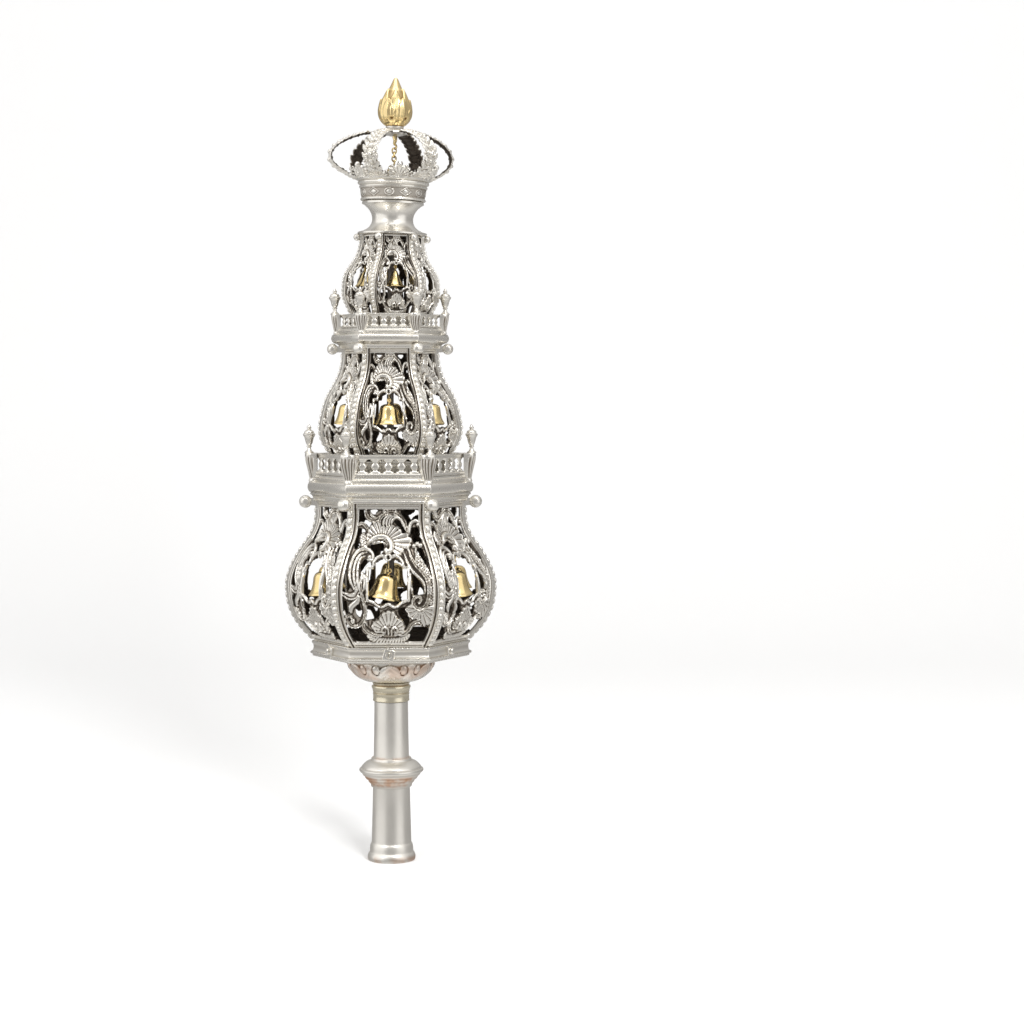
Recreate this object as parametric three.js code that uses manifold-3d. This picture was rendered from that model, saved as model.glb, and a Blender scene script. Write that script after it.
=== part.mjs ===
// A Torah finial (rimmon): a hollow stem that slips over the top of a scroll roller, and on it a
// hexagonal tower of three pierced silver storeys hung with gilt bells, a crown of six arches and a bud.
// Millimetres, +Z up. The origin is the centre of the foot's underside, and the front face of the tower
// looks to -Y.
import * as THREE from "three";
import { mergeVertices } from "three/addons/utils/BufferGeometryUtils.js";
import Module from "manifold-3d";

const wasm = await Module();
wasm.setup();

// ---- Driving dimensions ----
const gap = 0.3; // left between pieces that touch
const faces = 6; // sides of the tower, and arches of the crown
const roundSides = 12; // facets of the turned pieces
const bellSides = 6;
const upperTurn = 9.5; // degrees that the top storey, neck and crown have been screwed round
const upperLean = 1.5; // degrees that the same pieces lean to +X, where the rod has bent
const leanHeight = 294; // the bend

const stem = { collarHeight: 88.7, socket: 8.9, upperSocket: 8.0, knopZ: 50.6, knopRadius: 17.7 };
const collarTop = 99.3;
const dome = { base: collarTop + gap, top: 113.4, baseRadius: 10.4, topRadius: 24.2, wall: 1.3 };
const baseRim = { bottom: 113.7, top: 122.4, radius: 44.4, inner: 38.8, floor: 1.4 };
const rod = { radius: 1.9, hole: 2.4, bottom: 101.3, top: 348 };

// A storey's ribs follow a curve of points [radius, height]; its pierced plates lie just inside them.
// The ornament is laid out once, on the lowest storey, and `ring` and `scale` carry it to the others.
const storeys = {
  lower: {
    rib: [[43.7, 122.7], [51.8, 131.7], [57.8, 145], [57.2, 157.5], [43.4, 184.6], [41.8, 199.1]],
    ribWidth: 2.6, ribProud: 2, wall: 1.4, ring: 171.2, scale: 1, spread: 0,
    roll: { radius: 3.15, width: 3.9, reach: 47, z: 199 },
    bell: { radius: 9, height: 13, reach: 40.9, bottom: 149.1, tilts: [12, -5, 4, -7, 6, -4] },
  },
  middle: {
    rib: [[31.6, 214], [36, 228], [39.6, 240], [36, 255], [29.6, 266.4], [26.8, 282.4]],
    ribWidth: 2.2, ribProud: 1.7, wall: 1.3, ring: 259.3, scale: 0.82, spread: 0.2,
    roll: { radius: 2.45, width: 3.3, reach: 31.6, z: 282.2 },
    bell: { radius: 7.5, height: 11, reach: 26, bottom: 241.7, tilts: [0, 5, -4, 6, -6, 3] },
  },
  upper: {
    rib: [[20.8, 294.9], [27, 311], [26.4, 320], [20, 332.6], [17.8, 344.3]],
    ribWidth: 1.8, ribProud: 1.4, wall: 1.1, ring: 328.8, scale: 0.59, spread: 0.29,
    roll: { radius: 1.3, width: 2.4, reach: 19.1, z: 342.9 },
    bell: { radius: 5.1, height: 8.6, reach: 15.6, bottom: 316.4, tilts: [0, 4, -3, 5, -5, 3] },
  },
};

const cornices = {
  lower: {
    bottom: 199.4, top: 213.7, torusZ: 207.2, torusRadius: 45.6, torusHalf: 3.1,
    neck: 43, plinth: 43, inner: 38.2, floor: 1.6,
  },
  upper: {
    bottom: 282.7, top: 293.7, torusZ: 288.3, torusRadius: 32.3, torusHalf: 2.6,
    neck: 28, plinth: 29.6, inner: 24.7, floor: 1.4,
  },
};

const balustrades = {
  lower: {
    bottom: 214, top: 225.6, radius: 42.2, wall: 2.4, openings: 4, pitch: 7, openingZ: [215.8, 223.1],
    bracket: { top: 9.4, foot: 4.6, out: 47.2, footZ: 210.7, inner: 40.4 },
    urn: { height: 15.6, radius: 3.2, reach: 44.6 },
  },
  upper: {
    bottom: 294, top: 301.4, radius: 28.9, wall: 1.9, openings: 3, pitch: 5.2, openingZ: [295.2, 299.9],
    bracket: { top: 6.8, foot: 3.6, out: 32.4, footZ: 291.4, inner: 27.2 },
    urn: { height: 13.6, radius: 2.6, reach: 30.4 },
  },
};

const neck = {
  bottom: 344.7, top: 362.7, flange: 19, waist: 11.2, waistZ: 352.6, topFlange: 16.9, wall: 1.3,
};
const band = { bottom: 363, top: 375.3, bottomRadius: 17.1, topRadius: 19.9, wall: 1.4 };
const arch = { width: 8, wall: 1.3, inset: 5.4, drift: 1.8 };
const boss = { bottom: 400.4, top: 403.7, radius: 4.8 };
const bud = { bottom: 404, top: 430, radius: 9.1, widestZ: 411.5, shoulderZ: 423 };

const silver = new THREE.MeshStandardMaterial({ color: "#cdc7bd", roughness: 0.28, metalness: 0.95 });
const gilt = new THREE.MeshStandardMaterial({ color: "#d8b45c", roughness: 0.22, metalness: 0.95 });
const paleBrass = new THREE.MeshStandardMaterial({ color: "#cdbd92", roughness: 0.3, metalness: 0.9 });
const ironGrey = new THREE.MeshStandardMaterial({ color: "#5b544c", roughness: 0.5, metalness: 0.8 });

// ---- Helpers ----
const radians = THREE.MathUtils.degToRad;
const mix = THREE.MathUtils.lerp;

/** A body of revolution with `sides` facets from a profile of [radius, height] points. */
function turned(profile, sides = roundSides) {
  const points = profile.map(([radius, height]) => new THREE.Vector2(radius, height));
  return new THREE.LatheGeometry(points, sides, sides === faces ? Math.PI / 6 : 0).rotateX(Math.PI / 2);
}

/** A flat outline of [x, y] points raised to `depth` along +Z. */
function raised(outline, depth) {
  const shape = new THREE.Shape(outline.map(([x, y]) => new THREE.Vector2(x, y)));
  return new THREE.ExtrudeGeometry(shape, { depth, bevelEnabled: false });
}

/** A flat outline of [x, z] points standing in the XZ plane, running from y = -near to y = -far. */
function standing(outline, near, far) {
  return raised(outline, far - near).rotateX(Math.PI / 2).translate(0, -near, 0);
}

function block(width, depth, height, x, y, z) {
  return new THREE.BoxGeometry(width, depth, height).translate(x, y, z);
}

/** A three.js geometry as a solid that can be joined and cut. */
function solid(geometry) {
  const bare = geometry.clone();
  bare.deleteAttribute("normal");
  bare.deleteAttribute("uv");
  const merged = mergeVertices(bare, 1e-4);
  return new wasm.Manifold(new wasm.Mesh({
    numProp: 3,
    vertProperties: new Float32Array(merged.attributes.position.array),
    triVerts: new Uint32Array(merged.index.array),
  }));
}

function join(solids) {
  return solids.reduce((whole, next) => whole.add(next));
}

/** A finished solid back as a three.js geometry with flat faces. */
function geometryOf(body) {
  const mesh = body.getMesh();
  const shared = new THREE.BufferGeometry();
  shared.setAttribute("position", new THREE.BufferAttribute(new Float32Array(mesh.vertProperties), 3));
  shared.setIndex(new THREE.BufferAttribute(new Uint32Array(mesh.triVerts), 1));
  const flat = shared.toNonIndexed();
  flat.computeVertexNormals();
  return flat;
}

const finial = new THREE.Group();
// The top storey and the crown, screwed round a little and leaning with the bent rod.
const upperWorks = new THREE.Group();
const bend = new THREE.Group();
bend.position.z = leanHeight;
bend.rotation.y = radians(upperLean);
upperWorks.position.z = -leanHeight;
upperWorks.rotation.z = radians(upperTurn);
bend.add(upperWorks);
finial.add(bend);

function place(name, body, material, parent = finial) {
  const mesh = new THREE.Mesh(body instanceof THREE.BufferGeometry ? body : geometryOf(body), material);
  mesh.name = name;
  parent.add(mesh);
  return mesh;
}

/** Radius of a curve of [radius, height] points at a height, by straight stretches. */
function radiusAt(curve, z) {
  const next = curve.findIndex(([, height]) => height >= z);
  if (next <= 0) return next === 0 ? curve[0][0] : curve[curve.length - 1][0];
  const [r0, z0] = curve[next - 1];
  const [r1, z1] = curve[next];
  return mix(r0, r1, (z - z0) / (z1 - z0));
}

// ---- Stem: an open-ended turned tube with a foot, a knop and a plain neck ----
function makeStem() {
  const { collarHeight, socket, upperSocket, knopZ, knopRadius } = stem;
  const outside = [
    [13.2, 0], [13.3, 1.8], [12.2, 3.8], [11.6, 9], [11, 9.8],
    [10.2, 41], [12.8, 44.6], [knopRadius, knopZ - 1], [knopRadius, knopZ + 0.4],
    [12.9, 53], [11.4, 56.6], [9.7, 57.2], [9.2, collarHeight - gap],
  ];
  const socketWall = [
    [upperSocket, collarHeight - gap], [upperSocket, 46], [socket, 40], [socket + 1.1, 4], [12, 0],
  ];
  place("stem", turned([...outside, ...socketWall, outside[0]]), silver);
}

/** Two gilt-brass mouldings that cap the stem and carry the tower. */
function makeCollar() {
  const bottom = stem.collarHeight;
  place("stem_collar", turned([
    [0, collarTop - 1.6], [8.3, collarTop - 1.6], [8.3, bottom],
    [9.9, bottom], [9.9, 92.6], [9.3, 93.4], [10.6, 95.6], [10.1, collarTop], [0, collarTop],
  ]), paleBrass);
}

/** The shallow bowl chased with leaves, a wall of even thickness with a seat for the rod. */
function makeDome() {
  const { base, top, baseRadius, topRadius, wall } = dome;
  const steps = 3;
  const bowl = (shrink) => Array.from({ length: steps + 1 }, (_, i) => {
    const turn = (i / steps) * Math.PI / 2;
    return [mix(baseRadius, topRadius, Math.sin(turn)) - shrink, mix(top, base + 0.7, Math.cos(turn))];
  });
  const outer = bowl(0);
  const inner = bowl(wall).filter(([, z]) => z > base + wall).reverse();
  const seat = [[baseRadius - wall, base + wall], [0, base + wall]];
  place("leaf_dome", turned([[0, base], [baseRadius, base], ...outer, ...inner, ...seat]), silver);
}

/** The hexagonal tray under the tower: a cavetto between two flanges, a floor, and a nut on each side. */
function makeBaseRim() {
  const { bottom, top, radius, inner, floor } = baseRim;
  const tray = solid(turned([
    [rod.hole, bottom], [radius, bottom], [radius, bottom + 2.4], [radius - 3, bottom + 4.4],
    [radius - 1, bottom + 7.3], [radius - 1, top], [inner, top], [inner, bottom + floor],
    [rod.hole, bottom + floor], [rod.hole, bottom],
  ], faces));
  const nutZ = bottom + 4.6;
  const nutReach = (radius - 3.2) * Math.cos(Math.PI / 6);
  const nuts = [];
  for (let face = 0; face < faces; face++) {
    const square = block(6.2, 3.4, 6.2, 0, 0, 0).rotateY(radians(16));
    nuts.push(solid(square.translate(0, -nutReach - 0.3, nutZ).rotateZ(face * Math.PI / 3)));
  }
  place("base_rim", join([tray, ...nuts]), silver);
}

/** The rod that ties the storeys together, bent where the top storey begins. */
function makeRod() {
  const below = leanHeight - rod.bottom;
  const above = rod.top - leanHeight;
  const straight = new THREE.CylinderGeometry(rod.radius, rod.radius, below, 8).rotateX(Math.PI / 2);
  const leaning = new THREE.CylinderGeometry(rod.radius, rod.radius, above, 8).rotateX(Math.PI / 2);
  straight.translate(0, 0, rod.bottom + below / 2);
  leaning.translate(0, 0, above / 2 - 0.1).rotateY(radians(upperLean)).translate(0, 0, leanHeight);
  place("central_rod", join([solid(straight), solid(leaning)]), ironGrey);
}

// ---- Storeys ----
// Outlines of the openings in a face, as [x, z] on the lowest storey, x from the middle of the face.
const windowOpening = [
  [-10.2, 148.6], [0, 146.2], [10.2, 148.6], [10.2, 165.2],
  [7.4, 165.2], [0, 171], [-7.4, 165.2], [-10.2, 165.2],
];
const scrollOpenings = {
  eye: [[-9.6, 176.6], [-6.4, 171.9], [-2.6, 175.4], [-5.4, 179.2]],
  cornerLeft: [[-16.4, 196], [-15, 188.4], [-9.4, 194.4]],
  cornerRight: [[6.4, 196], [15.4, 188.2], [16.4, 196]],
  besideAcanthus: [[-24.2, 153.4], [-20.2, 155.4], [-22.8, 165]],
  insideScroll: [[12.2, 164.4], [12.9, 151.2], [19, 152.8]],
  footLeft: [[-21.6, 136.4], [-17.4, 125.8], [-10, 126.4]],
  footRight: [[22.4, 136.2], [10, 126.4], [17.4, 125.8]],
};
const openingsOf = {
  lower: ["eye", "cornerLeft", "cornerRight", "besideAcanthus", "insideScroll", "footLeft", "footRight"],
  middle: ["eye", "cornerRight", "besideAcanthus", "insideScroll"],
  upper: ["cornerRight", "insideScroll"],
};

/** Half the clear width of a face of a storey at a height, between the two frame strips. */
function clearHalf(storey, z) {
  return (radiusAt(storey.rib, z) - storey.ribProud - storey.ribWidth) / 2 - storey.wall;
}

/** A point of the ornament carried from the lowest storey to another. */
function carried(storey, [x, z]) {
  const height = storey.ring + (z - storeys.lower.ring) * storey.scale;
  const across = x / clearHalf(storeys.lower, z);
  const spread = across + storey.spread * (across - across ** 3);
  return [spread * clearHalf(storey, height), height];
}

/** One face of a storey: a pierced plate bowed in an S, with the corner rib at its right-hand edge. */
function storeyPanel(name, storey) {
  const slant = Math.cos(Math.PI / 6);
  const plate = storey.rib.map(([radius, z]) => [radius - storey.ribProud, z]);
  const back = plate.map(([radius, z], i) => {
    const [r0, z0] = plate[Math.max(i - 1, 0)];
    const [r1, z1] = plate[Math.min(i + 1, plate.length - 1)];
    const slope = (r1 - r0) * slant / (z1 - z0);
    return [radius - storey.wall * Math.hypot(1, slope) / slant, z];
  }).reverse();
  const ring = solid(turned([...plate, ...back, plate[0]], faces));

  // The stretch of the ring from just clear of the left rib to the right-hand corner.
  const edge = storey.ribWidth / 2 + gap;
  const far = 80;
  const wedge = raised([
    [-0.5 * far + slant * edge, -slant * far - 0.5 * edge],
    [0.5 * far, -slant * far],
    [Math.tan(Math.PI / 6) * edge, -edge],
  ], 100).translate(0, 0, plate[0][1] - 10);

  // The rib stands on the corner. Its top end is rolled outwards under the cornice.
  const { radius: rollRadius, width, reach, z: rollZ } = storey.roll;
  const [topRadius, topZ] = storey.rib[storey.rib.length - 1];
  const inside = plate.filter((_, i) => i !== 2).reverse()
    .map(([radius, z]) => [radius - storey.wall * 2.2, z]);
  const ribOutline = [
    ...storey.rib.slice(0, -1), [topRadius, topZ - rollRadius],
    [reach - 0.6 * rollRadius, topZ - 0.7 * rollRadius], [reach - 0.6 * rollRadius, topZ], ...inside,
  ];
  const rib = raised(ribOutline, storey.ribWidth).rotateX(Math.PI / 2).translate(0, storey.ribWidth / 2, 0);
  const roll = new THREE.CylinderGeometry(rollRadius, rollRadius, width, 8).translate(reach, 0, rollZ);
  const corner = join([rib, roll].map(solid)).rotate([0, 0, -60]);
  const outlines = [windowOpening, ...openingsOf[name].map((key) => scrollOpenings[key])];
  const cuts = outlines.map((outline) => {
    const here = outline.map((point) => carried(storey, point));
    return solid(standing(here, 2, far));
  });
  return ring.intersect(solid(wedge)).subtract(join(cuts)).add(corner);
}

/** A small open bell on a straight wire, hung from the ring at the top of its window. */
function storeyBell(storey, tilt) {
  const { radius, height, reach, bottom } = storey.bell;
  const wall = 0.07 * radius;
  const shell = turned([
    [0, -0.2 * height], [radius - wall, -height], [radius, -height], [0.72 * radius, -0.72 * height],
    [0.55 * radius, -0.06 * height], [0, 0],
  ], bellSides);
  const wireLength = storey.ring - 1.4 * storey.scale - gap - (bottom + height);
  const wire = new THREE.CylinderGeometry(0.6, 0.6, wireLength + 0.5, 3).rotateX(Math.PI / 2);
  wire.translate(0, 0, wireLength / 2 - 0.25);
  const bell = join([solid(shell).rotate([0, tilt, 0]), solid(wire)]);
  return bell.translate([0, -reach, bottom + height]);
}

function makeStorey(name, parent) {
  const storey = storeys[name];
  const panel = storeyPanel(name, storey);
  for (let face = 0; face < faces; face++) {
    place(`${name}_panel_${face + 1}`, panel.rotate([0, 0, face * 60]), silver, parent);
    const bell = storeyBell(storey, storey.bell.tilts[face]);
    place(`${name}_bell_${face + 1}`, bell.rotate([0, 0, face * 60]), gilt, parent);
  }
}

// ---- Cornices and balustrades ----
/** A hexagonal cornice: fillet, cavetto, fat torus and plinth over a floor. */
function makeCornice(name) {
  const { bottom, top, torusZ, torusRadius, torusHalf, plinth, inner, floor } = cornices[name];
  const neckRadius = cornices[name].neck;
  const torus = [-50, 0, 50].map((turn) => [
    torusRadius - torusHalf * (1 - Math.cos(radians(turn))), torusZ + torusHalf * Math.sin(radians(turn)),
  ]);
  const profile = [
    [inner, bottom], [neckRadius, bottom], [neckRadius, bottom + 1.2],
    [mix(neckRadius, torusRadius, 0.35), bottom + 3.4], ...torus, [plinth + 1, torusZ + torusHalf],
    [plinth, top - 0.4], [plinth - 0.6, top],
    [rod.hole, top], [rod.hole, top - floor], [inner, top - floor], [inner, bottom],
  ];
  return turned(profile, faces);
}

/** Silhouette of a covered urn as [radius, height] fractions of its size. */
const urnProfile = [[0, 0], [0.85, 0], [0.26, 0.26], [1, 0.68], [0, 1]];

/** A pierced hexagonal gallery rail with a leaf bracket and an urn at each corner. */
function makeBalustrade(name) {
  const { bottom, top, radius, wall, openings, pitch, openingZ, bracket, urn } = balustrades[name];
  const ring = solid(turned([
    [radius - wall, bottom], [radius, bottom], [radius, top], [radius - wall, top], [radius - wall, bottom],
  ], faces));
  const [low, high] = openingZ;
  const keyhole = [[0, 0], [0.36, 0.6], [0, 1], [-0.36, 0.6]];
  const cuts = [];
  const corners = [];
  for (let face = 0; face < faces; face++) {
    for (let i = 0; i < openings; i++) {
      const middle = (i - (openings - 1) / 2) * pitch;
      const outline = keyhole.map(([x, z]) => [middle + x * pitch, mix(low, high, z)]);
      cuts.push(solid(standing(outline, 2, 60)).rotate([0, 0, face * 60]));
    }
    const side = [
      [bracket.inner, bottom], [radius + 1.1, bracket.footZ], [radius + 2.6, bracket.footZ],
      [bracket.out, mix(bracket.footZ, top, 0.6)], [bracket.out - 0.6, top], [bracket.inner, top],
    ];
    const slab = solid(raised(side, bracket.top).rotateX(Math.PI / 2).translate(0, bracket.top / 2, 0));
    const taper = solid(raised([
      [-bracket.foot / 2, bracket.footZ - 1], [bracket.foot / 2, bracket.footZ - 1],
      [bracket.top / 2, top + 0.5], [-bracket.top / 2, top + 0.5],
    ], 40).rotateX(Math.PI / 2).rotateZ(Math.PI / 2).translate(20, 0, 0));
    const urnShape = turned(urnProfile.map(([r, z]) => [r * urn.radius, z * urn.height]), 5);
    const corner = join([slab.intersect(taper), solid(urnShape.translate(urn.reach, 0, top - 0.2))]);
    corners.push(corner.rotate([0, 0, face * 60]));
  }
  // Below the rail the brackets lap the outside of the cornice's plinth.
  const lap = cornices[name].plinth + 1.4;
  const plinth = solid(turned([[0, bottom - 20], [lap, bottom - 20], [lap, bottom], [0, bottom]], faces));
  return ring.subtract(join(cuts)).add(join(corners).subtract(plinth));
}

function makeTier(name) {
  place(`${name}_cornice`, makeCornice(name), silver);
  place(`${name}_balustrade`, makeBalustrade(name), silver);
}

// ---- Neck, crown and bud ----
function makeNeck() {
  const { bottom, top, flange, waist, waistZ, topFlange, wall } = neck;
  const sweep = [0, 0.5, 1].map((t) => [
    mix(waist, flange - 2.6, Math.cos(t * Math.PI / 2) ** 2.2),
    mix(waistZ, bottom + 2, Math.sin((1 - t) * Math.PI / 2)),
  ]);
  const rise = [0.5, 1].map((t) => [
    mix(waist, topFlange - 0.6, 1 - Math.cos(t * Math.PI / 2)),
    mix(waistZ, top - 1.6, Math.sin(t * Math.PI / 2)),
  ]);
  place("neck", turned([
    [rod.hole, bottom], [flange, bottom], [flange, bottom + 1.2], ...sweep, ...rise,
    [topFlange, top - 1.2], [topFlange, top], [topFlange - 2.2, top],
    [waist - wall, waistZ + 1], [waist - wall, waistZ - 3],
    [waist + 1, bottom + wall], [rod.hole, bottom + wall], [rod.hole, bottom],
  ]), silver, upperWorks);
}

/** The crown's circlet: bead rim, band and upper mouldings, with a leaf standing between each two arches. */
function makeCrownBand() {
  const { bottom, top, bottomRadius, topRadius, wall } = band;
  const circlet = solid(turned([
    [0, bottom], [bottomRadius, bottom], [bottomRadius + 0.6, bottom + 6.6], [topRadius, bottom + 9.4],
    [topRadius, top], [topRadius - wall, top],
    [bottomRadius - wall - 0.4, bottom + wall], [0, bottom + wall],
  ]));
  const leaf = [[-4.6, 0], [4.6, 0], [3.6, 5], [0, 8], [-3.6, 5]];
  const leaves = [];
  for (let i = 0; i < faces; i++) {
    const blade = standing(leaf, 0, 1.2).rotateX(radians(34)).translate(0, -topRadius + 1.6, top - 0.8);
    leaves.push(solid(blade).rotate([0, 0, i * 60]));
  }
  place("crown_band", join([circlet, ...leaves]), silver, upperWorks);
}

/** One arch: a bowed strap from the circlet to the boss, kept inside its own sixth of the crown. */
function crownArch(stretch) {
  const spine = [
    [19.2, band.top + gap], [29.6, 381], [33.9, 386], [32.6, 391.4], [26, 396.8], [16, 400.4],
    [arch.inset, 401.4],
  ].map(([radius, z]) => [radius + stretch * Math.max(0, (radius - 19.2) / 14.6), z]);
  const under = spine.map(([radius, z], i) => {
    const [r0, z0] = spine[Math.max(i - 1, 0)];
    const [r1, z1] = spine[Math.min(i + 1, spine.length - 1)];
    const length = Math.hypot(r1 - r0, z1 - z0);
    const onEnd = i === 0 || i === spine.length - 1;
    return [
      onEnd && i > 0 ? radius : radius - (arch.wall * (z1 - z0)) / length,
      i === 0 ? z : z + (arch.wall * (r1 - r0)) / length,
    ];
  }).reverse();
  const strap = raised([...spine, ...under], arch.width).rotateX(Math.PI / 2).translate(0, arch.width / 2, 0);
  const spread = 60 * Math.tan(Math.PI / 6);
  const sixth = raised([[0.7, 0], [60, -spread], [60, spread]], 60).translate(0, 0, band.top - 5);
  return solid(strap).intersect(solid(sixth));
}

function makeCrown() {
  makeCrownBand();
  for (let i = 0; i < faces; i++) {
    const bearing = i * 60;
    const stretch = -arch.drift * Math.cos(radians(bearing + upperTurn));
    place(`crown_arch_${i + 1}`, crownArch(stretch).rotate([0, 0, bearing]), silver, upperWorks);
  }
  const { bottom, top, radius } = boss;
  place("crown_boss", turned([
    [0, bottom - 1.6], [2.6, bottom - 1.2], [arch.inset - 0.5, bottom], [radius, top], [0, top],
  ], 12), silver, upperWorks);

  const bell = { radius: 5.2, height: 10.5, bottom: 372.6 };
  const hook = boss.bottom - 1.6 - gap - (bell.bottom + bell.height);
  const shell = turned([
    [0, -0.2], [0.9, -1], [1, -1], [0.72, -0.72], [0.5, -0.06], [0, 0],
  ].map(([r, z]) => [r * bell.radius, z * bell.height]), bellSides);
  const wire = new THREE.CylinderGeometry(0.9, 0.7, hook + 0.5, 6).rotateX(Math.PI / 2);
  wire.translate(0, 0, hook / 2 - 0.25);
  const hung = join([solid(shell), solid(wire)]).translate([0, 0, bell.bottom + bell.height]);
  place("crown_bell", hung, gilt, upperWorks);
}

/** The gilt bud: two rows of six overlapping leaves swelling from the boss, closed to a smooth point. */
function makeBud() {
  const { bottom, top, radius, widestZ, shoulderZ } = bud;
  const body = turned([
    [0, bottom], [4.6, bottom], [radius - 1, widestZ - 3.5], [radius - 0.7, widestZ],
    [radius - 1.3, widestZ + 4], [6.4, widestZ + 8], [5, shoulderZ], [3.6, shoulderZ], [0, top],
  ], 12);
  // Every second edge stands proud, and the upper row's leaves stand between the lower row's.
  const corners = body.attributes.position;
  for (let i = 0; i < corners.count; i++) {
    const [x, y, z] = [corners.getX(i), corners.getY(i), corners.getZ(i)];
    const leafy = z > bottom + 1 && Math.hypot(x, y) > 3.7;
    const phase = z > widestZ + 2 ? Math.PI : 0;
    const swell = leafy ? 1 + 0.09 * Math.cos(6 * Math.atan2(y, x) + phase) : 1;
    corners.setXY(i, x * swell, y * swell);
  }
  place("bud", body, gilt, upperWorks);
}

makeStem();
makeCollar();
makeDome();
makeBaseRim();
makeRod();
makeStorey("lower", finial);
makeTier("lower");
makeStorey("middle", finial);
makeTier("upper");
makeStorey("upper", upperWorks);
makeNeck();
makeCrown();
makeBud();

export default finial;
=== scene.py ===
# %% [markdown]
# A Torah finial, or rimmon: one of a pair of silver ornaments that slip over the tops of a
# scroll's rollers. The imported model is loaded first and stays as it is. It gives each piece its
# size and place, in metres, with the origin at the middle of the foot's underside. Most pieces
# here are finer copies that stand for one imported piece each.

# %% Load the fixed frame
import math
from contextlib import contextmanager

import bpy
import numpy as np
from mathutils import Matrix, Vector


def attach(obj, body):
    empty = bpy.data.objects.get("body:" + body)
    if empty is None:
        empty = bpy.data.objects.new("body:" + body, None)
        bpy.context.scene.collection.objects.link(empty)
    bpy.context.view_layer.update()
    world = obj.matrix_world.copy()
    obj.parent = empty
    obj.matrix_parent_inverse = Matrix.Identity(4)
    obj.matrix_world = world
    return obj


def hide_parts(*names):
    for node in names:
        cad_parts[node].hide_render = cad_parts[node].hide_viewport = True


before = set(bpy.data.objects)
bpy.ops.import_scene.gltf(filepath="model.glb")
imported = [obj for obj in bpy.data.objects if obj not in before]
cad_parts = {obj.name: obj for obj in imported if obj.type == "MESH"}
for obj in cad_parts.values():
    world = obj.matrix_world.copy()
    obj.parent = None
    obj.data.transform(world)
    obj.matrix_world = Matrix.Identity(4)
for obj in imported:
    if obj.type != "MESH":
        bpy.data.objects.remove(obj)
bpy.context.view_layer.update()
scene = bpy.context.scene
MM = 0.001
FACES = 6

# %% [markdown]
# The camera stands 1.24 m away at about two thirds of the finial's height, and looks down a
# little. The finial is left of the middle of the picture, so the camera also turns to its right.

# %% Camera
DISTANCE, EYE_HEIGHT, BEARING = 1.24, 0.2604, math.radians(1.83)
TURN_RIGHT, LOOK_DOWN = math.radians(3.09), math.radians(3.11)
bpy.ops.object.camera_add(location=(DISTANCE * math.sin(BEARING), -DISTANCE * math.cos(BEARING),
    EYE_HEIGHT))
camera = bpy.context.object
camera.data.lens = 79.15
camera.data.clip_start = 0.01
camera.rotation_euler = (math.pi / 2 - LOOK_DOWN, 0, BEARING - TURN_RIGHT)
scene.camera = camera
print("camera at", [round(v, 3) for v in camera.location])

# %% [markdown]
# Polished silver shows little colour of its own: it shows the room. Here the room is grey, with a
# wide soft screen on each side, a darker gap between them and a small bright lamp for the
# sparkle. The white sweep that the finial stands on is left out of reflections, or every edge
# would melt into it, and so is the low lamp that only throws the soft shadow.

# %% Backdrop
bpy.ops.object.select_all(action="DESELECT")
bpy.ops.mesh.primitive_grid_add(x_subdivisions=2, y_subdivisions=60, size=1)
sweep = bpy.context.object
sweep.name = "backdrop"
SWEEP_WIDTH, SWEEP_LENGTH, SWEEP_NEAR, SWEEP_FLAT = 9, 7.0, -2.6, 0.9
for vertex in sweep.data.vertices:
    # Flat up to SWEEP_FLAT, then a quarter turn of 1 m radius, then straight up.
    along = (vertex.co.y + 0.5) * SWEEP_LENGTH + SWEEP_NEAR
    bend = max(0.0, along - SWEEP_FLAT)
    turn = min(bend, math.pi / 2)
    rise = max(0.0, bend - math.pi / 2)
    vertex.co = (vertex.co.x * SWEEP_WIDTH, min(along, SWEEP_FLAT) + math.sin(turn),
                 1 - math.cos(turn) + rise)
bpy.ops.object.shade_smooth()
sweep.visible_glossy = False


def lamp(name, place, size, brightness, aim=(0, 0, 0.22), colour=(1, 1, 1)):
    """A soft rectangular lamp. Its power follows from how bright its face looks, 1 being white."""
    bpy.ops.object.light_add(type="AREA", location=place)
    light = bpy.context.object
    light.name = name
    light.data.shape = "RECTANGLE"
    light.data.size, light.data.size_y = size
    light.data.energy = brightness * math.pi * size[0] * size[1]
    light.data.color = colour
    light.rotation_euler = (Vector(aim) - Vector(place)).to_track_quat("-Z", "Y").to_euler()
    return light


lamp("left_screen", (-1.25, -0.5, 0.55), (2.1, 1.7), 0.68)
lamp("right_screen", (1.05, -0.8, 0.55), (1.2, 1.7), 0.7)
lamp("top", (0.0, -0.45, 1.6), (1.3, 0.7), 1.7)
lamp("sparkle", (0.6, -1.1, 1.2), (0.3, 0.3), 11)
lamp("sparkle_left", (-0.8, -1.0, 0.9), (0.2, 0.3), 7)
shadow_lamp = lamp("shadow", (0.75, -2.3, 0.9), (0.5, 0.5), 75)
shadow_lamp.visible_glossy = False
scene.view_settings.view_transform = "Standard"
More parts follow.
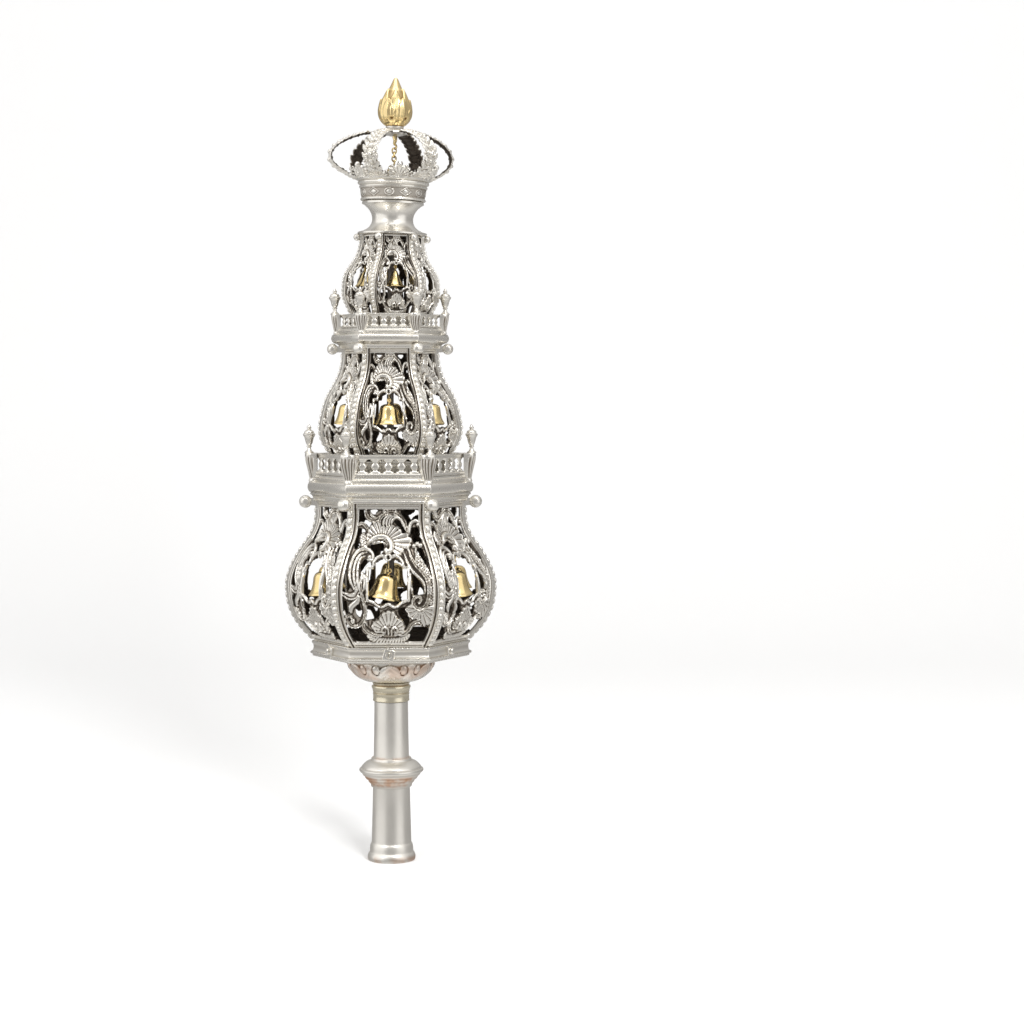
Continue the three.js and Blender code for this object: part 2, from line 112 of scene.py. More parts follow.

# %% [markdown]
# Materials are written as sums. A small class wraps a socket, so that `a * b + 1` adds the Math
# nodes, and one method adds any other node. Each vertex carries a value of tarnish and painted
# shade: 0 on an open, polished surface and 1 in a deep recess or on the inside. It is partly the
# tarnish that old silver has in its hollows and partly painted shade where less light reaches.
# The silver darkens, warms and dulls along it.

# %% Shader maths
class Sock:
    """A socket of a node tree, with arithmetic."""

    def __init__(self, tree, socket):
        self.tree, self.socket = tree, socket

    def node(self, kind, settings=(), out=0, **inputs):
        node = self.tree.nodes.new(kind)
        for key, value in dict(settings).items():
            setattr(node, key, value)
        for key, value in inputs.items():
            port = node.inputs[int(key[1:])] if key[1:].isdigit() else node.inputs[key.replace("_",
                " ")]
            if isinstance(value, Sock):
                self.tree.links.new(value.socket, port)
            else:
                port.default_value = value
        return Sock(self.tree, node.outputs[out])

    def math(self, operation, *values):
        return self.node("ShaderNodeMath", {"operation": operation},
                         **{f"i{i}": value for i, value in enumerate(values)})

    def __add__(self, other):
        return self.math("ADD", self, other)

    def __sub__(self, other):
        return self.math("SUBTRACT", self, other)

    def __rsub__(self, other):
        return self.math("SUBTRACT", other, self)

    def __mul__(self, other):
        return self.math("MULTIPLY", self, other)

    def __pow__(self, other):
        return self.math("POWER", self, other)

    __radd__, __rmul__ = __add__, __mul__

    def clamp(self):
        return self.math("MINIMUM", self.math("MAXIMUM", self, 0.0), 1.0)

    def step(self, low, high):
        """0 below `low`, 1 above `high`, smooth between."""
        return self.node("ShaderNodeMapRange", {"interpolation_type": "SMOOTHSTEP"},
                         i0=self, i1=low, i2=high, i3=0.0, i4=1.0)

    def mixed(self, a, b):
        """Colour `a` where this value is 0 and `b` where it is 1."""
        a, b = [(*c, 1) if isinstance(c, tuple) else c for c in (a, b)]
        return self.node("ShaderNodeMix", {"data_type": "RGBA"}, out=2, i0=self, i6=a, i7=b)


def start_material(name, metallic, roughness):
    """A new material, its Principled shader, and a wrapped place to start sums from."""
    material = bpy.data.materials.new(name)
    material.use_nodes = True
    shader = material.node_tree.nodes["Principled BSDF"]
    shader.inputs["Metallic"].default_value = metallic
    shader.inputs["Roughness"].default_value = roughness
    return material, shader, Sock(material.node_tree, None)


def link(source, shader, name):
    source.tree.links.new(source.socket, shader.inputs[name])


def spots(start, scale, detail=3.0, stretch=(1, 1, 1)):
    """Cloudy noise from 0 to 1, with `scale` clouds per metre."""
    where = start.node("ShaderNodeTexCoord", out=3)
    placed = start.node("ShaderNodeMapping", Vector=where, Scale=stretch)
    return start.node("ShaderNodeTexNoise", Vector=placed, Scale=scale, Detail=detail)


# %% [markdown]
# The grey room is the world behind everything. It is paler overhead and underfoot than at eye
# level, as a room with a white ceiling and a white table is.

# %% Room
world = bpy.data.worlds.new("studio")
scene.world = world
world.use_nodes = True
start = Sock(world.node_tree, None)
height = start.node("ShaderNodeSeparateXYZ", out=2, Vector=start.node("ShaderNodeTexCoord"))
room = (height * height).mixed((0.36, 0.355, 0.35), (0.95, 0.94, 0.92))
world.node_tree.links.new(room.socket, world.node_tree.nodes["Background"].inputs["Color"])


def tarnish_and_shade_depth(start, clouds, uneven):
    """The tarnish and painted shade of the surface, made uneven by the clouds, from 0 to 1."""
    tarnish_and_shade = start.node("ShaderNodeAttribute", {"attribute_name": "tarnish_and_shade"}, out=2)
    return (tarnish_and_shade + (clouds - 0.5) * uneven).clamp()


# %% Silver
# The second and third colours are tarnish and painted shade, for hollows and for deep hollows and
# the inside.
BRIGHT, TARNISH_AND_SHADE, DEEP_TARNISH_AND_SHADE = (0.9, 0.87, 0.81), (0.33, 0.28, 0.225), (0.115, 0.095, 0.078)
COPPERY = (0.62, 0.34, 0.19)


def make_silver(name, tint, stains=(), dull=0.0):
    material, shader, start = start_material(name, 1.0, 0.2)
    clouds, fine = spots(start, 90), spots(start, 900, 2.0)
    depth = tarnish_and_shade_depth(start, clouds, 0.25)
    # Tarnish and painted shade: the colour darkens towards the hollows and the inside.
    colour = depth.step(0.15, 0.8).mixed(tint, TARNISH_AND_SHADE)
    colour = depth.step(0.62, 1.0).mixed(colour, DEEP_TARNISH_AND_SHADE)
    height = start.node("ShaderNodeSeparateXYZ", out=2, Vector=start.node("ShaderNodeTexCoord",
        out=3))
    for low, high, strength in stains:
        edge = (high - low) / 2
        band = 1 - start.math("ABSOLUTE", height - (low + high) / 2).step(edge * 0.4, edge)
        worn = (band * clouds.step(0.38, 0.62) * strength).clamp()
        colour = worn.mixed(colour, COPPERY)
    link(colour, shader, "Base Color")
    link((0.17 + dull + depth * 0.4 + clouds * 0.09 + fine * 0.11).clamp(), shader, "Roughness")
    bump = start.node("ShaderNodeBump", Strength=0.12, Distance=0.0002, Height=fine + clouds * 3)
    link(bump, shader, "Normal")
    return material


silver = make_silver("polished_silver", BRIGHT)
stem_silver = make_silver("handled_silver", BRIGHT, dull=0.11, stains=[
    (-0.004, 0.004, 0.6), (0.041, 0.0488, 0.9), (0.0565, 0.0585, 0.25),
])
bowl_silver = make_silver("chased_silver", BRIGHT, stains=[(0.1, 0.1125, 0.45)])
print("silver finishes made")

# %% Gilding, worn brass, iron and paper-white sweep
def make_gilt(name, light, dark, rough):
    material, shader, start = start_material(name, 1.0, rough)
    clouds = spots(start, 160)
    depth = tarnish_and_shade_depth(start, clouds, 0.3)
    # Tarnish and painted shade: the gilding darkens towards its hollows.
    colour = depth.step(0.1, 0.8).mixed(light, dark)
    link(colour, shader, "Base Color")
    link((rough + depth * 0.3 + clouds * 0.12).clamp(), shader, "Roughness")
    bump = start.node("ShaderNodeBump", Strength=0.15, Distance=0.0003, Height=clouds)
    link(bump, shader, "Normal")
    return material


gilt = make_gilt("polished_gilding", (0.93, 0.73, 0.37), (0.24, 0.13, 0.04), 0.16)
pale_brass = make_gilt("worn_gilding", (0.86, 0.79, 0.62), (0.42, 0.31, 0.2), 0.2)
iron = make_gilt("dull_rod", (0.3, 0.27, 0.24), (0.1, 0.08, 0.11), 0.4)

paper, paper_shader, _ = start_material("backdrop_white", 0.0, 0.9)
paper_shader.inputs["Base Color"].default_value = (0.8, 0.8, 0.8, 1)
paper_shader.inputs["Emission Color"].default_value = (1, 1, 1, 1)
paper_shader.inputs["Emission Strength"].default_value = 0.11
sweep.data.materials.append(paper)
print("materials:", len(bpy.data.materials))

# %% [markdown]
# Three helpers make nearly every piece. `turned` moves the points of a circle primitive to a
# profile and spins it round the axis, as on a lathe, with 6 steps for a hexagonal moulding.
# `formed` moves the points of a grid primitive to worked-out places, for straps, leaves and
# pierced plates. `settle` then gives a piece its finish, its tarnish and painted shade, and its
# place on the packed body.

# %% Helpers
def alone(piece):
    """Selects only this piece and makes it the active one."""
    bpy.ops.object.select_all(action="DESELECT")
    piece.select_set(True)
    bpy.context.view_layer.objects.active = piece


def coordinates(piece):
    flat = np.empty(len(piece.data.vertices) * 3)
    piece.data.vertices.foreach_get("co", flat)
    return flat.reshape(-1, 3)


def move_points(piece, points):
    piece.data.vertices.foreach_set("co", np.asarray(points, dtype=float).ravel())
    piece.data.update()


@contextmanager
def edit_mode(piece):
    """Edit mode on this piece alone, with all of it selected."""
    alone(piece)
    bpy.ops.object.mode_set(mode="EDIT")
    bpy.ops.mesh.select_mode(type="VERT")
    bpy.ops.mesh.select_all(action="SELECT")
    yield
    bpy.ops.object.mode_set(mode="OBJECT")


def close_up(piece, fill=False):
    """Merges doubles, fills open ends if asked, and points the faces outwards."""
    with edit_mode(piece):
        bpy.ops.mesh.remove_doubles(threshold=1e-7)
        bpy.ops.mesh.dissolve_degenerate(threshold=1e-8)
        if fill:
            bpy.ops.mesh.select_all(action="SELECT")
            bpy.ops.mesh.fill_holes(sides=0)
        bpy.ops.mesh.select_all(action="SELECT")
        bpy.ops.mesh.normals_make_consistent(inside=False)
    return piece


def turned(name, profile, steps=72):
    """Spins a closed loop of [radius, height] points, in mm, round the axis. Returns the piece."""
    bpy.ops.object.select_all(action="DESELECT")
    bpy.ops.mesh.primitive_circle_add(vertices=len(profile))
    piece = bpy.context.object
    piece.name = name
    move_points(piece, [(r * MM, 0, z * MM) for r, z in profile])
    with edit_mode(piece):
        bpy.ops.mesh.spin(steps=steps, angle=2 * math.pi, axis=(0, 0, 1), center=(0, 0, 0))
    return close_up(piece)


def formed(name, points, wrapped=False):
    """A grid primitive with its points at `points`, in mm: an array of rows, columns, xyz."""
    rows, columns = points.shape[:2]
    bpy.ops.object.select_all(action="DESELECT")
    bpy.ops.mesh.primitive_grid_add(x_subdivisions=columns - 1, y_subdivisions=rows - 1)
    piece = bpy.context.object
    piece.name = name
    move_points(piece, points.reshape(-1, 3) * MM)
    if wrapped:
        close_up(piece, fill=True)
    return piece


def joined(name, pieces):
    alone(pieces[0])
    for piece in pieces[1:]:
        piece.select_set(True)
    if len(pieces) > 1:
        bpy.ops.object.join()
    whole = bpy.context.object
    whole.name = whole.data.name = name
    return whole


def moved(piece, matrix):
    piece.data.transform(matrix)
    piece.data.update()
    return piece


def copy_of(piece, name, matrix=Matrix.Identity(4)):
    twin = bpy.data.objects.new(name, piece.data.copy())
    scene.collection.objects.link(twin)
    twin.data.name = name
    return moved(twin, matrix)


def round_axis(degrees):
    return Matrix.Rotation(math.radians(degrees), 4, "Z")


def shift(x, y, z):
    return Matrix.Translation((x * MM, y * MM, z * MM))


def smooth_line(points, steps=8):
    """A smooth line through points, by Catmull-Rom stretches."""
    p = np.asarray(points, dtype=float)
    p = np.vstack([2 * p[0] - p[1], p, 2 * p[-1] - p[-2]])
    out = []
    for a, b, c, d in zip(p[:-3], p[1:-2], p[2:-1], p[3:]):
        for t in np.arange(steps) / steps:
            out.append(0.5 * (2 * b + (c - a) * t + (2 * a - 5 * b + 4 * c - d) * t**2
                              + (3 * b - a - 3 * c + d) * t**3))
    return np.array(out + [p[-2]])


def tube(name, path, radius, sides=8, steps=6, taper=None):
    """A round wire, in mm, along a smooth path of 3-D points."""
    line = smooth_line(path, steps)
    tangents = np.gradient(line, axis=0)
    tangents /= np.linalg.norm(tangents, axis=1)[:, None]
    aside = np.cross(tangents, (0.31, 0.2, 0.93) if abs(tangents[0][2]) < 0.9 else (1.0, 0.1, 0.0))
    aside /= np.linalg.norm(aside, axis=1)[:, None]
    over = np.cross(tangents, aside)
    along = np.linspace(0, 1, len(line))
    size = radius * (np.ones(len(line)) if taper is None else np.interp(along, *zip(*taper)))
    turn = np.linspace(0, 2 * math.pi, sides + 1)
    rings = line[:, None] + size[:, None, None] * (
        np.cos(turn)[None, :, None] * aside[:, None] + np.sin(turn)[None, :, None] * over[:, None])
    return formed(name, rings, wrapped=True)


def wire_ring(radius, wire, sides, turn=0.0):
    """A ring of round wire that stands upright at the origin, turned about the axis."""
    bpy.ops.object.select_all(action="DESELECT")
    bpy.ops.mesh.primitive_torus_add(major_segments=sides, minor_segments=8,
        major_radius=radius * MM, minor_radius=wire * MM, rotation=(math.pi / 2, 0, turn))
    ring = bpy.context.object
    bpy.ops.object.transform_apply(location=False, rotation=True, scale=True)
    return ring


def ball(name, centre, radius, rings=8):
    bpy.ops.object.select_all(action="DESELECT")
    bpy.ops.mesh.primitive_uv_sphere_add(segments=rings + 4, ring_count=rings)
    piece = bpy.context.object
    piece.name = name
    return moved(piece, shift(*centre) @ Matrix.Scale(radius * MM, 4))


def thicken(piece, thickness, front_tarnish_and_shade, back_tarnish_and_shade):
    """Gives an open skin its wall, in mm, and its new inner side its own tarnish and painted shade.
    """
    front = len(piece.data.vertices)
    modifier = piece.modifiers.new("plate", "SOLIDIFY")
    modifier.thickness, modifier.offset = thickness * MM, -1
    bpy.ops.object.modifier_apply(modifier=modifier.name)
    back = np.full(len(piece.data.vertices) - front, back_tarnish_and_shade)
    set_tarnish_and_shade(piece, np.concatenate([front_tarnish_and_shade, back]))
    return piece


# %% Tarnish, painted shade and settling a piece
def tarnish_and_shade_of(piece, gain, spread):
    """Hollowness of the surface at each vertex, 0 to 1, spread over its neighbours: tarnish and
    painted shade.
    """
    mesh = piece.data
    count = len(mesh.vertices)
    points = coordinates(piece)
    normals = np.empty(count * 3)
    mesh.vertex_normals.foreach_get("vector", normals)
    normals = normals.reshape(-1, 3)
    ends = np.empty(len(mesh.edges) * 2, dtype=int)
    mesh.edges.foreach_get("vertices", ends)
    a, b = ends.reshape(-1, 2).T
    gap = points[b] - points[a]
    length = np.linalg.norm(gap, axis=1) + 1e-9
    degree = np.bincount(a, minlength=count) + np.bincount(b, minlength=count) + 1e-9
    hollow = (np.bincount(a, (gap * normals[a]).sum(1) / length, count)
              + np.bincount(b, -(gap * normals[b]).sum(1) / length, count)) / degree
    for _step in range(spread):
        around = np.bincount(a, hollow[b], count) + np.bincount(b, hollow[a], count)
        hollow = 0.4 * hollow + 0.6 * around / degree
    return np.clip(hollow * gain, 0, 1)


def set_tarnish_and_shade(piece, values):
    mesh = piece.data
    old = mesh.attributes.get("tarnish_and_shade")
    if old:
        mesh.attributes.remove(old)
    layer = mesh.attributes.new("tarnish_and_shade", "FLOAT", "POINT")
    layer.data.foreach_set("value", np.asarray(values, dtype=np.float32))


def read_tarnish_and_shade(piece):
    values = np.empty(len(piece.data.vertices), dtype=np.float32)
    piece.data.attributes["tarnish_and_shade"].data.foreach_get("value", values)
    return values


SHARPEST = 38  # degrees: a sharper edge than this stays sharp in the shading


def settle(piece, node, material, gain=3.0, tarnish_and_shade=None):
    """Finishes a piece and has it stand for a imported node."""
    alone(piece)
    bpy.ops.object.shade_smooth_by_angle(angle=math.radians(SHARPEST))
    # Unless given, tarnish and painted shade follow how hollow the piece is.
    if tarnish_and_shade is None and not piece.data.attributes.get("tarnish_and_shade"):
        tarnish_and_shade = tarnish_and_shade_of(piece, gain, 1)
    if tarnish_and_shade is not None:
        set_tarnish_and_shade(piece, tarnish_and_shade)
    piece.data.materials.clear()
    piece.data.materials.append(material)
    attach(piece, "root")
    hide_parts(node)
    return piece


# The top storey, the neck and the crown are screwed round a little and lean with the bent rod.
SCREWED, TILT, PIVOT = 9.5, math.radians(1.5), 294
LEAN = shift(0, 0, PIVOT) @ Matrix.Rotation(TILT, 4, "Y") @ shift(0, 0,
    -PIVOT) @ round_axis(SCREWED)
UPRIGHT = Matrix.Identity(4)


def settle_round(piece, name, node, material, place=UPRIGHT):
    """Six copies of a piece round the axis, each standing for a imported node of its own."""
    alone(piece)
    for face in range(FACES):
        twin = copy_of(piece, f"{name}_{face + 1}", place @ round_axis(60 * face))
        settle(twin, f"{node}_{face + 1}", material)
    bpy.data.objects.remove(piece)
    print(f"{name}: six of {len(twin.data.polygons)} faces")

# %% [markdown]
# Each storey has six faces of cast and chased openwork: a frame, a window with a ring for its
# bell, and rococo scrolls, shells and leaves round it. Real ones are cast in a mould and cleaned
# up with chisels. Hundreds of small curved solids could be joined, but they never run into each
# other as soft silver does, so the relief is drawn instead: every scroll, shell and leaf adds its
# height to a fine grid, and the highest wins. The ornament is drawn once, in mm on the lowest
# storey, with x from the middle of the face and z up, and is carried up to the smaller storeys.

# %% The three storeys
STOREYS = {
    "lower": dict(
        curve=[(43.7, 122.7), (51.2, 131), (55.9, 139.4), (57.8, 147.8), (57.8, 156.4), (55, 164.6),
               (50.3, 173), (44.3, 181.7), (41.8, 190), (41.8, 199.1)],
        rib_width=2.6, rib_proud=2.0, wall=1.4, ring=171.2, scale=1.0, spread=0.0,
        roll=(3.45, 6.2, 46.8, 199.0), cells=(104, 176), relief=1.0, scallop=3.9, place=UPRIGHT),
    "middle": dict(
        curve=[(31.6, 214), (35, 226.3), (38, 231.5), (39.6, 238), (38.8, 245), (35.5, 256),
               (29.6, 266.8), (27.2, 275), (26.8, 282.4)],
        rib_width=2.2, rib_proud=1.7, wall=1.3, ring=259.3, scale=0.82, spread=0.2,
        roll=(2.95, 5.4, 31.6, 282.6), cells=(88, 150), relief=0.85, scallop=3.2, place=UPRIGHT),
    "upper": dict(
        curve=[(20.8, 294.9), (23.3, 302.3), (26.4, 309), (27.1, 314), (26, 322.7), (20.6, 331.5),
               (18.4, 338), (17.8, 344.3)],
        rib_width=1.8, rib_proud=1.4, wall=1.1, ring=328.8, scale=0.59, spread=0.29,
        roll=(1.9, 3.4, 19.3, 343.0), cells=(72, 124), relief=0.65, scallop=2.4, place=LEAN),
}
SLANT = math.cos(math.pi / 6)


def rib_radius(storey, z):
    line = smooth_line(storey["curve"])
    return np.interp(z, line[:, 1], line[:, 0])


def clear_half(storey, z):
    """Half the width of a face between its frame strips."""
    return (rib_radius(storey, z) - storey["rib_proud"] - storey["rib_width"]) / 2 - storey["wall"]


# %% [markdown]
# A stroke's height depends on the distance from its middle line, measured in its own half-width:
# `round` is a plain swelling, `channel` has two raised lips, and `leafy` is nicked across. A fan
# is a shell or palmette: flutes spread from a centre to a scalloped edge. Openings are outlines
# with softened corners.

# %% Drawing tools
def nearest(x, z, line):
    """Distance to a line of points, how far along it the nearest place is, and which side."""
    best = np.full(x.shape, 1e9)
    along = np.zeros(x.shape)
    side = np.zeros(x.shape)
    lengths = np.hypot(*np.diff(line, axis=0).T)
    done = np.concatenate([[0], np.cumsum(lengths)])
    for (ax, az), (bx, bz), start, length in zip(line[:-1], line[1:], done, lengths):
        dx, dz = (bx - ax) / (length + 1e-9), (bz - az) / (length + 1e-9)
        t = np.clip((x - ax) * dx + (z - az) * dz, 0, length)
        gap = np.hypot(x - ax - t * dx, z - az - t * dz)
        closer = gap < best
        best = np.where(closer, gap, best)
        along = np.where(closer, start + t, along)
        side = np.where(closer, np.sign((x - ax) * dz - (z - az) * dx), side)
    return best, along, side, done[-1]


def within(x, z, ring):
    """Which points lie inside a closed outline."""
    inside = np.zeros(x.shape, dtype=bool)
    for (ax, az), (bx, bz) in zip(ring[:-1], ring[1:]):
        crosses = (az > z) != (bz > z)
        inside ^= crosses & (x < ax + (z - az) * (bx - ax) / (bz - az + 1e-12))
    return inside


class Relief:
    """Heights and solidity of the ornament at the grid points x, z of a face, in mm."""

    def __init__(self, x, z):
        self.x, self.z = x, z
        self.height = np.zeros(x.shape)
        self.solid = np.full(x.shape, 9.0)
        self.added = np.full(x.shape, -9.0)

    def opening(self, *points, soft=True):
        """Cuts an outline of points, its corners rounded if `soft`."""
        line = smooth_ring(points) if soft else np.vstack([points, points[:1]])
        gap = nearest(self.x, self.z, line)[0]
        inside = within(self.x, self.z, line)
        self.solid = np.minimum(self.solid, np.where(inside, -gap, gap))

    def raise_to(self, height, reach):
        """Adds a form: its height where `reach`, the distance inside its edge, is positive."""
        self.height = np.maximum(self.height, np.where(reach > 0, height, 0))
        self.added = np.maximum(self.added, reach)

    def stroke(self, width, height, *points, kind="round", ends=(0.35, 0.35), smooth=True,
               nick=1.6):
        line = smooth_line(points, 7) if smooth else np.array(points, dtype=float)
        gap, along, side, total = nearest(self.x, self.z, line)
        t = along / total
        half = width * np.interp(t, (0, 0.22, 0.78, 1), (ends[0], 1, 1, ends[1]))
        q = np.clip(gap / half, 0, 1)
        if kind == "channel":
            top = 0.45 + 0.55 * np.exp(-(((q - 0.72) / 0.24) ** 2))
            top = top * np.sqrt(np.clip(1 - q**6, 0, 1))
        elif kind == "leafy":
            cuts = np.abs(np.sin(math.pi * (along + 0.55 * gap * side) / nick))
            top = (0.35 + 0.65 * np.sqrt(cuts)) * np.sqrt(np.clip(1 - q**3, 0, 1))
            half = half * (0.82 + 0.18 * cuts)
        else:
            top = np.sqrt(np.clip(1 - q**2, 0, 1))
        self.raise_to(height * top, half - gap)

    def fan(self, centre, height, flutes, edge, hub=0.8):
        """Flutes from `centre` to an edge of points given in order round it."""
        dx, dz = self.x - centre[0], self.z - centre[1]
        radius, angle = np.hypot(dx, dz), np.arctan2(dz, dx)
        offsets = np.array(edge) - centre
        bearings = np.unwrap(np.arctan2(offsets[:, 1], offsets[:, 0]))
        reach = np.hypot(*offsets.T)
        if bearings[-1] < bearings[0]:
            bearings, reach = bearings[::-1], reach[::-1]
        middle = (bearings[0] + bearings[-1]) / 2
        angle = (angle - middle + math.pi) % (2 * math.pi) - math.pi + middle
        t = (angle - bearings[0]) / (bearings[-1] - bearings[0])
        lobe = np.abs(np.sin(math.pi * flutes * np.clip(t, 0, 1)))
        rim = np.interp(angle, bearings, reach) * (0.9 + 0.1 * np.sqrt(lobe))
        inside = np.minimum(rim - radius, np.minimum(t,
            1 - t) * (bearings[-1] - bearings[0]) * radius + 0.2)
        far = np.clip(radius / rim, 0, 1)
        edge_lip = np.exp(-(((rim - radius - 0.45) / 0.3) ** 2))
        top = (0.35 + 0.5 * np.sqrt(lobe) + 0.25 * edge_lip) * (0.55 + 0.45 * far)
        self.raise_to(height * top * np.clip(inside / 0.35, 0, 1) ** 0.5, inside)
        self.knob(centre, hub, height * 0.9)

    def knob(self, centre, radius, height):
        gap = np.hypot(self.x - centre[0], self.z - centre[1])
        self.raise_to(height * np.sqrt(np.clip(1 - (gap / radius) ** 2, 0, 1)), radius - gap)

    def lattice(self, height, *points, pitch=1.7):
        """A diaper of crossing lines between softened outlines."""
        ring = smooth_ring(points)
        gap = nearest(self.x, self.z, ring)[0]
        inside = within(self.x, self.z, ring)
        one = np.abs(np.sin(math.pi * (self.x + self.z) / pitch))
        two = np.abs(np.sin(math.pi * (self.x - self.z) / pitch))
        reach = np.where(inside, gap, -gap)
        self.raise_to(height * (0.35 + 0.65 * (1 - np.minimum(one, two) ** 0.7)), reach)


def smooth_ring(points):
    """A closed outline through the midpoints of a polygon's sides, rounding its corners."""
    p = np.asarray(points, dtype=float)
    out = []
    for before, here, after in zip(np.roll(p, 1, 0), p, np.roll(p, -1, 0)):
        start, end = here + (before - here) * 0.35, here + (after - here) * 0.35
        for t in (0, 0.25, 0.5, 0.75, 1):
            out.append((1 - t) ** 2 * start + 2 * t * (1 - t) * here + t * t * end)
    return np.array(out + out[:1])

# %% The openings behind the ornament
def cut_openings(r):
    r.opening((-10.2, 148.6), (-6, 146.6), (0, 147.2), (6, 146.6), (10.2, 148.6), (10.2, 165.2),
        (8.2, 165.2), (7, 168.2), (4, 170.4), (1.6, 171), (-1.6, 171), (-4, 170.4), (-7, 168.2),
        (-8.2, 165.2), (-10.2, 165.2), soft=False)
    r.opening((-10, 176.6), (-8.4, 178.8), (-5.4, 179.6), (-2.6, 178.6), (-2, 176.4), (-2.8, 174),
        (-5.2, 172.3), (-7.3, 171.8))
    r.opening((2.4, 190.4), (5.4, 190.4), (7.6, 188.2), (8.9, 185.4), (7.2, 185.2), (6, 187),
        (3.6, 188.6))
    r.opening((5.8, 185.2), (8.9, 185.4), (8.6, 183.2), (6, 182.8))
    r.opening((-16.6, 196.2), (-12.6, 196.2), (-11.4, 192.4), (-8.8, 189.6), (-10.4, 186.6),
        (-12.1, 188.2), (-16.6, 189.4))
    r.opening((-10.4, 196.2), (-4.2, 196.2), (-7.8, 193))
    r.opening((5.2, 196.2), (16.8, 196.2), (16.8, 190.8), (13.8, 190.6), (10.6, 188.6),
        (10, 185.6), (8.8, 191))
    r.opening((-16.6, 187), (-12.5, 186), (-12.3, 184.2), (-15, 184), (-16.1, 180.4),
        (-14.8, 177.2), (-18, 175), (-18.4, 177.4))
    r.opening((11.9, 187), (16, 187), (17.9, 178.9), (14.4, 178.4), (13.2, 179), (11.6, 184))
    r.opening((14.8, 176), (18.3, 176.6), (21.4, 167), (20.4, 166.2), (16.4, 171.4))
    r.opening((-12.4, 171.2), (-9, 168.6), (-9.2, 166.6), (-11.6, 166.2), (-12.4, 162.6),
        (-14.4, 163.6), (-15, 167.2))
    r.opening((-22, 165.4), (-21, 161.2), (-19.8, 155.4), (-21.6, 153.4), (-24.4, 153.2),
        (-24.2, 159.2), (-23.2, 165.4))
    r.opening((-24.2, 149.2), (-20.4, 148.2), (-20.4, 142.8), (-23.4, 139.6))
    r.opening((-15.3, 148.4), (-13.6, 142.7), (-14.8, 138.6), (-17, 141), (-17.3, 144.5))
    r.opening((-10.9, 146.6), (-6.8, 145.2), (-4, 143.4), (-4.6, 139.6), (-8.4, 138),
        (-11.7, 137.4), (-11.9, 141.1))
    r.opening((5.3, 144.2), (9.6, 145.6), (9.2, 142.4), (10.9, 139.4), (11.7, 137.7), (9.6, 133),
        (8.9, 135.6), (6.9, 139), (5.2, 141.1))
    r.opening((12.2, 165.4), (14.2, 162.1), (17, 158.4), (19.3, 155), (18.9, 151.8), (16, 151.8),
        (13.2, 150.8), (12.4, 157.4))
    r.opening((-22.8, 137.4), (-19.5, 133.6), (-14.6, 134), (-13.8, 131.4), (-10.6, 128.6),
        (-9.4, 125.6), (-18, 125.6), (-20.8, 130.3))
    r.opening((12.6, 134.6), (17.4, 134.8), (19.8, 133.5), (23.9, 137.6), (22.4, 130.5),
        (19.8, 125.6), (9.2, 125.6), (11, 130.4))


